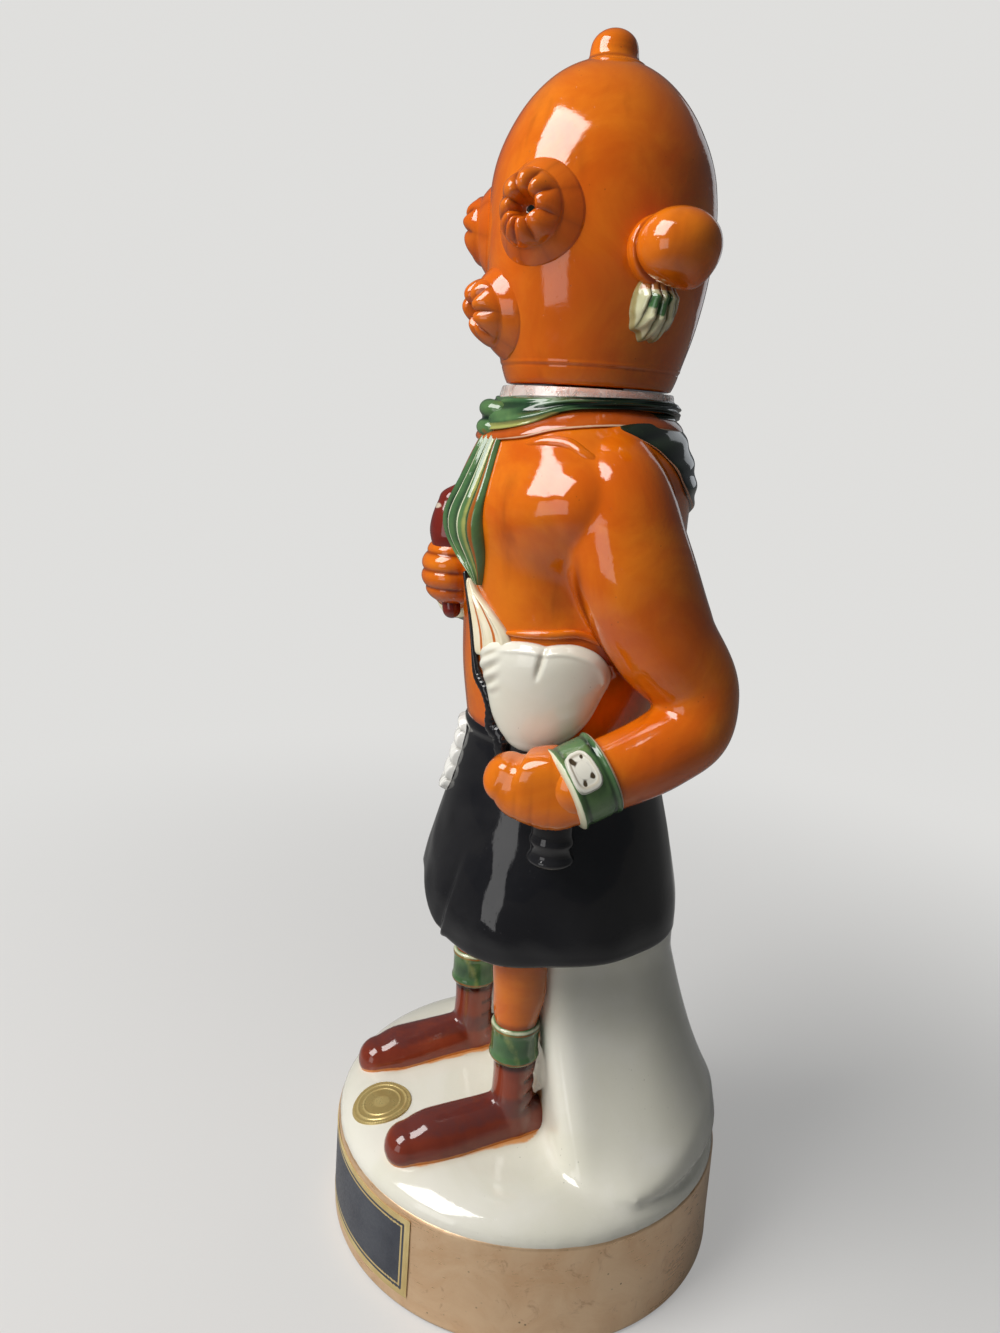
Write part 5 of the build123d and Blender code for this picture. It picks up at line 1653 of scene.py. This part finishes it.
def ribbon(name, path, outward, half_width):
    """Thin closed ribbon along a path, lying square to the outward direction."""
    half_thick = 0.22
    grid = tube(path, half_width, half_thick, up=outward, turns=32, power=3.0, cap_rows=3)
    return skin(name, grid)


def make_head_film():
    """Strip of seal from the neck up the back of the head and over the crown."""
    share = np.linspace(0.17, 0.93, 130)
    path = head_skin(pi, share, 0.35 + 0.25 * np.sin(share * 29) ** 2)
    outward = unit(head_skin(pi, share, 3.0) - head_skin(pi, share, 0.0))
    half_width = 3.1 * (0.15 + 0.85 * ease(share, 0.17, 0.30)) + 0.35 * np.sin(share * 41)
    return ribbon("head_film", path, outward, half_width)


finish(make_head_film(), seal_film, "seal_film", "head_seal_strip", body="head")


def make_back_film():
    """Strip of seal down the back, below the scarf's point."""
    height = np.linspace(204.6, 224.5, 60)
    path = torso_skin(pi, height, 0.35 + 0.12 * np.sin(height * 0.9))
    return ribbon("back_film", path, torso_outward(pi, height), 3.0 + 0.3 * np.sin(height * 1.3))


finish(make_back_film(), seal_film, "seal_film", "body_seal_strip")


def make_neck_film():
    """Torn seal round the neck: a thin ring whose lower edge is ragged."""
    turn = np.linspace(0, 2 * pi, 300, endpoint=False)
    across = np.linspace(0, 2 * pi, 24, endpoint=False)
    ragged = 0.9 * np.abs(np.sin(3.3 * turn + 1) * np.sin(7.1 * turn)) + 0.4 * np.abs(np.sin(17 * turn))
    low, top = 251.2 + ragged, 255.3
    around, section = np.meshgrid(turn, across, indexing="ij")
    middle, half = (top + low[:, None]) / 2, (top - low[:, None]) / 2
    height = middle + half * np.sin(section)
    lift = 0.75 + 0.2 * np.cos(section) + 0.5 * (1 - ease(height, 251, 253.5))
    return skin_ring("neck_film", torso_skin(around, height, lift), {})


finish(make_neck_film(), seal_film, "seal_film", "neck_seal_band")


# Cork keeps its own solid, with a cork finish

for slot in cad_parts["cork_stopper"].material_slots:
    slot.material = cork_bark


# Room: pale floor, soft lamps and the camera

backdrop_colour = (0.74, 0.735, 0.72, 1.0)


def make_floor():
    """Round floor far wider than the object, plain near it and as pale as the background far off."""
    radius = np.concatenate([np.linspace(0, 400, 30), np.geomspace(430, 9000, 40)])
    turn = np.linspace(0, 2 * pi, 128, endpoint=False)
    drop = 0.02
    across, along = radius[:, None] * np.cos(turn), radius[:, None] * np.sin(turn)
    grid = np.stack([across, along, np.full_like(across, -drop)], axis=-1)
    index = np.arange(grid.shape[0] * grid.shape[1]).reshape(grid.shape[:2])
    index[0] = index[0, 0]
    quads, tips = faces_of(index, True, False)
    mesh = bpy.data.meshes.new("floor")
    fill_mesh(mesh, grid.reshape(-1, 3), quads, tips, {})
    if mesh.polygons[0].normal.z < 0:
        mesh.flip_normals()
    floor = placed("floor", mesh)
    material, tree, shader = surface("floor_paper", {"Roughness": 0.85, "Specular IOR Level": 0.1,
                                                      "Base Color": backdrop_colour})
    place = object_place(tree)
    rays = put(tree, "ShaderNodeLightPath")
    seen = sums(tree, "MAXIMUM", rays.outputs["Is Camera Ray"], rays.outputs["Is Transmission Ray"])
    glow = put(tree, "ShaderNodeEmission", {"Color": backdrop_colour,
                                            "Strength": span(tree, seen, 0.0, 1.0, 0.18, 1.0)})
    length = put(tree, "ShaderNodeVectorMath", {0: place}, operation="LENGTH").outputs["Value"]
    far = span(tree, length, 0.10, 0.50, 0.42, 1.0)
    mixed = put(tree, "ShaderNodeMixShader", {0: far, 1: shader.outputs[0], 2: glow.outputs[0]})
    output = next(node for node in tree.nodes if node.type == "OUTPUT_MATERIAL")
    tree.links.new(mixed.outputs[0], output.inputs["Surface"])
    mesh.materials.append(material)


def make_world():
    """Pale background for what sees it straight or through glass, dim for gloss, and a low soft light."""
    world = bpy.data.worlds.new("studio")
    bpy.context.scene.world = world
    world.use_nodes = True
    tree = world.node_tree
    tree.nodes.clear()
    rays = put(tree, "ShaderNodeLightPath")
    seen = sums(tree, "MAXIMUM", rays.outputs["Is Camera Ray"], rays.outputs["Is Transmission Ray"])
    soft = put(tree, "ShaderNodeBackground", {"Color": (0.84, 0.90, 1.0, 1.0), "Strength": 0.09})
    dim = put(tree, "ShaderNodeBackground", {"Color": (0.9, 0.95, 1.0, 1.0), "Strength": 0.10})
    pale = put(tree, "ShaderNodeBackground", {"Color": backdrop_colour, "Strength": 1.0})
    gloss = put(tree, "ShaderNodeMixShader", {0: rays.outputs["Is Glossy Ray"], 1: soft.outputs[0],
                                              2: dim.outputs[0]})
    mixed = put(tree, "ShaderNodeMixShader", {0: seen, 1: gloss.outputs[0], 2: pale.outputs[0]})
    put(tree, "ShaderNodeOutputWorld", {"Surface": mixed.outputs[0]})


def aim(obj, spot, target):
    """Places a lamp in metres, facing a target."""
    forward = unit(np.array(target, float) - np.array(spot, float))
    side = unit(np.cross(forward, (0, 0, 1)))
    up = np.cross(side, forward)
    basis = np.column_stack([side, up, -forward])
    obj.matrix_world = Matrix([[*basis[k], spot[k]] for k in range(3)] + [[0, 0, 0, 1]])


def lamp(name, spot, target, wide, tall, power, colour=(1, 1, 1), glossy=True):
    """Rectangular soft lamp, which may be kept out of reflections."""
    data = bpy.data.lights.new(name, "AREA")
    data.shape = "RECTANGLE"
    data.size, data.size_y, data.energy, data.color = wide, tall, power, colour
    obj = placed(name, data)
    obj.visible_glossy = glossy
    aim(obj, spot, target)


def make_camera():
    """Camera at the photograph's angle, rolled a little, for a frame 1000 by 1333."""
    away, up, azimuth, frame_height, focal, sensor = 282.1, 246.6, radians(68.0), 1333, 1000.0, 36.0
    yaw, pitch, roll = azimuth + radians(3.5), radians(13.9), radians(3.6)
    spot = np.array([sin(azimuth) * away, -cos(azimuth) * away, up])
    forward = np.array([-sin(yaw) * cos(pitch), cos(yaw) * cos(pitch), -sin(pitch)])
    right = np.array([cos(yaw), sin(yaw), 0.0])
    upward = np.cross(right, forward)
    level = cos(roll) * right + sin(roll) * upward
    upright = -sin(roll) * right + cos(roll) * upward
    data = bpy.data.cameras.new("photo_camera")
    data.sensor_fit = "AUTO"
    data.sensor_width = sensor
    data.lens = focal * sensor / frame_height
    data.clip_start, data.clip_end = 0.01, 50.0
    obj = placed("photo_camera", data)
    basis = np.column_stack([level, upright, -forward])
    obj.matrix_world = Matrix([[*basis[k], spot[k] * MM] for k in range(3)] + [[0, 0, 0, 1]])
    bpy.context.scene.camera = obj


make_floor()
make_world()
make_camera()
lamp("window_lamp", (0.10, -0.62, 0.80), (0, 0, 0.19), 0.50, 0.62, 9.0, (1.0, 0.98, 0.96))
lamp("sill_lamp", (0.36, -0.72, 0.20), (0, 0, 0.14), 0.34, 0.42, 0.7, (1.0, 0.99, 0.98))
lamp("front_lamp", (-0.30, -0.75, 0.35), (0, 0, 0.15), 0.8, 0.8, 1.2, (1.0, 0.98, 0.96), glossy=False)
lamp("back_lamp", (-0.6, 0.75, 0.55), (0, 0, 0.18), 0.3, 0.6, 0.35, (0.92, 0.96, 1.0))

bpy.context.scene.view_settings.view_transform = "Standard"
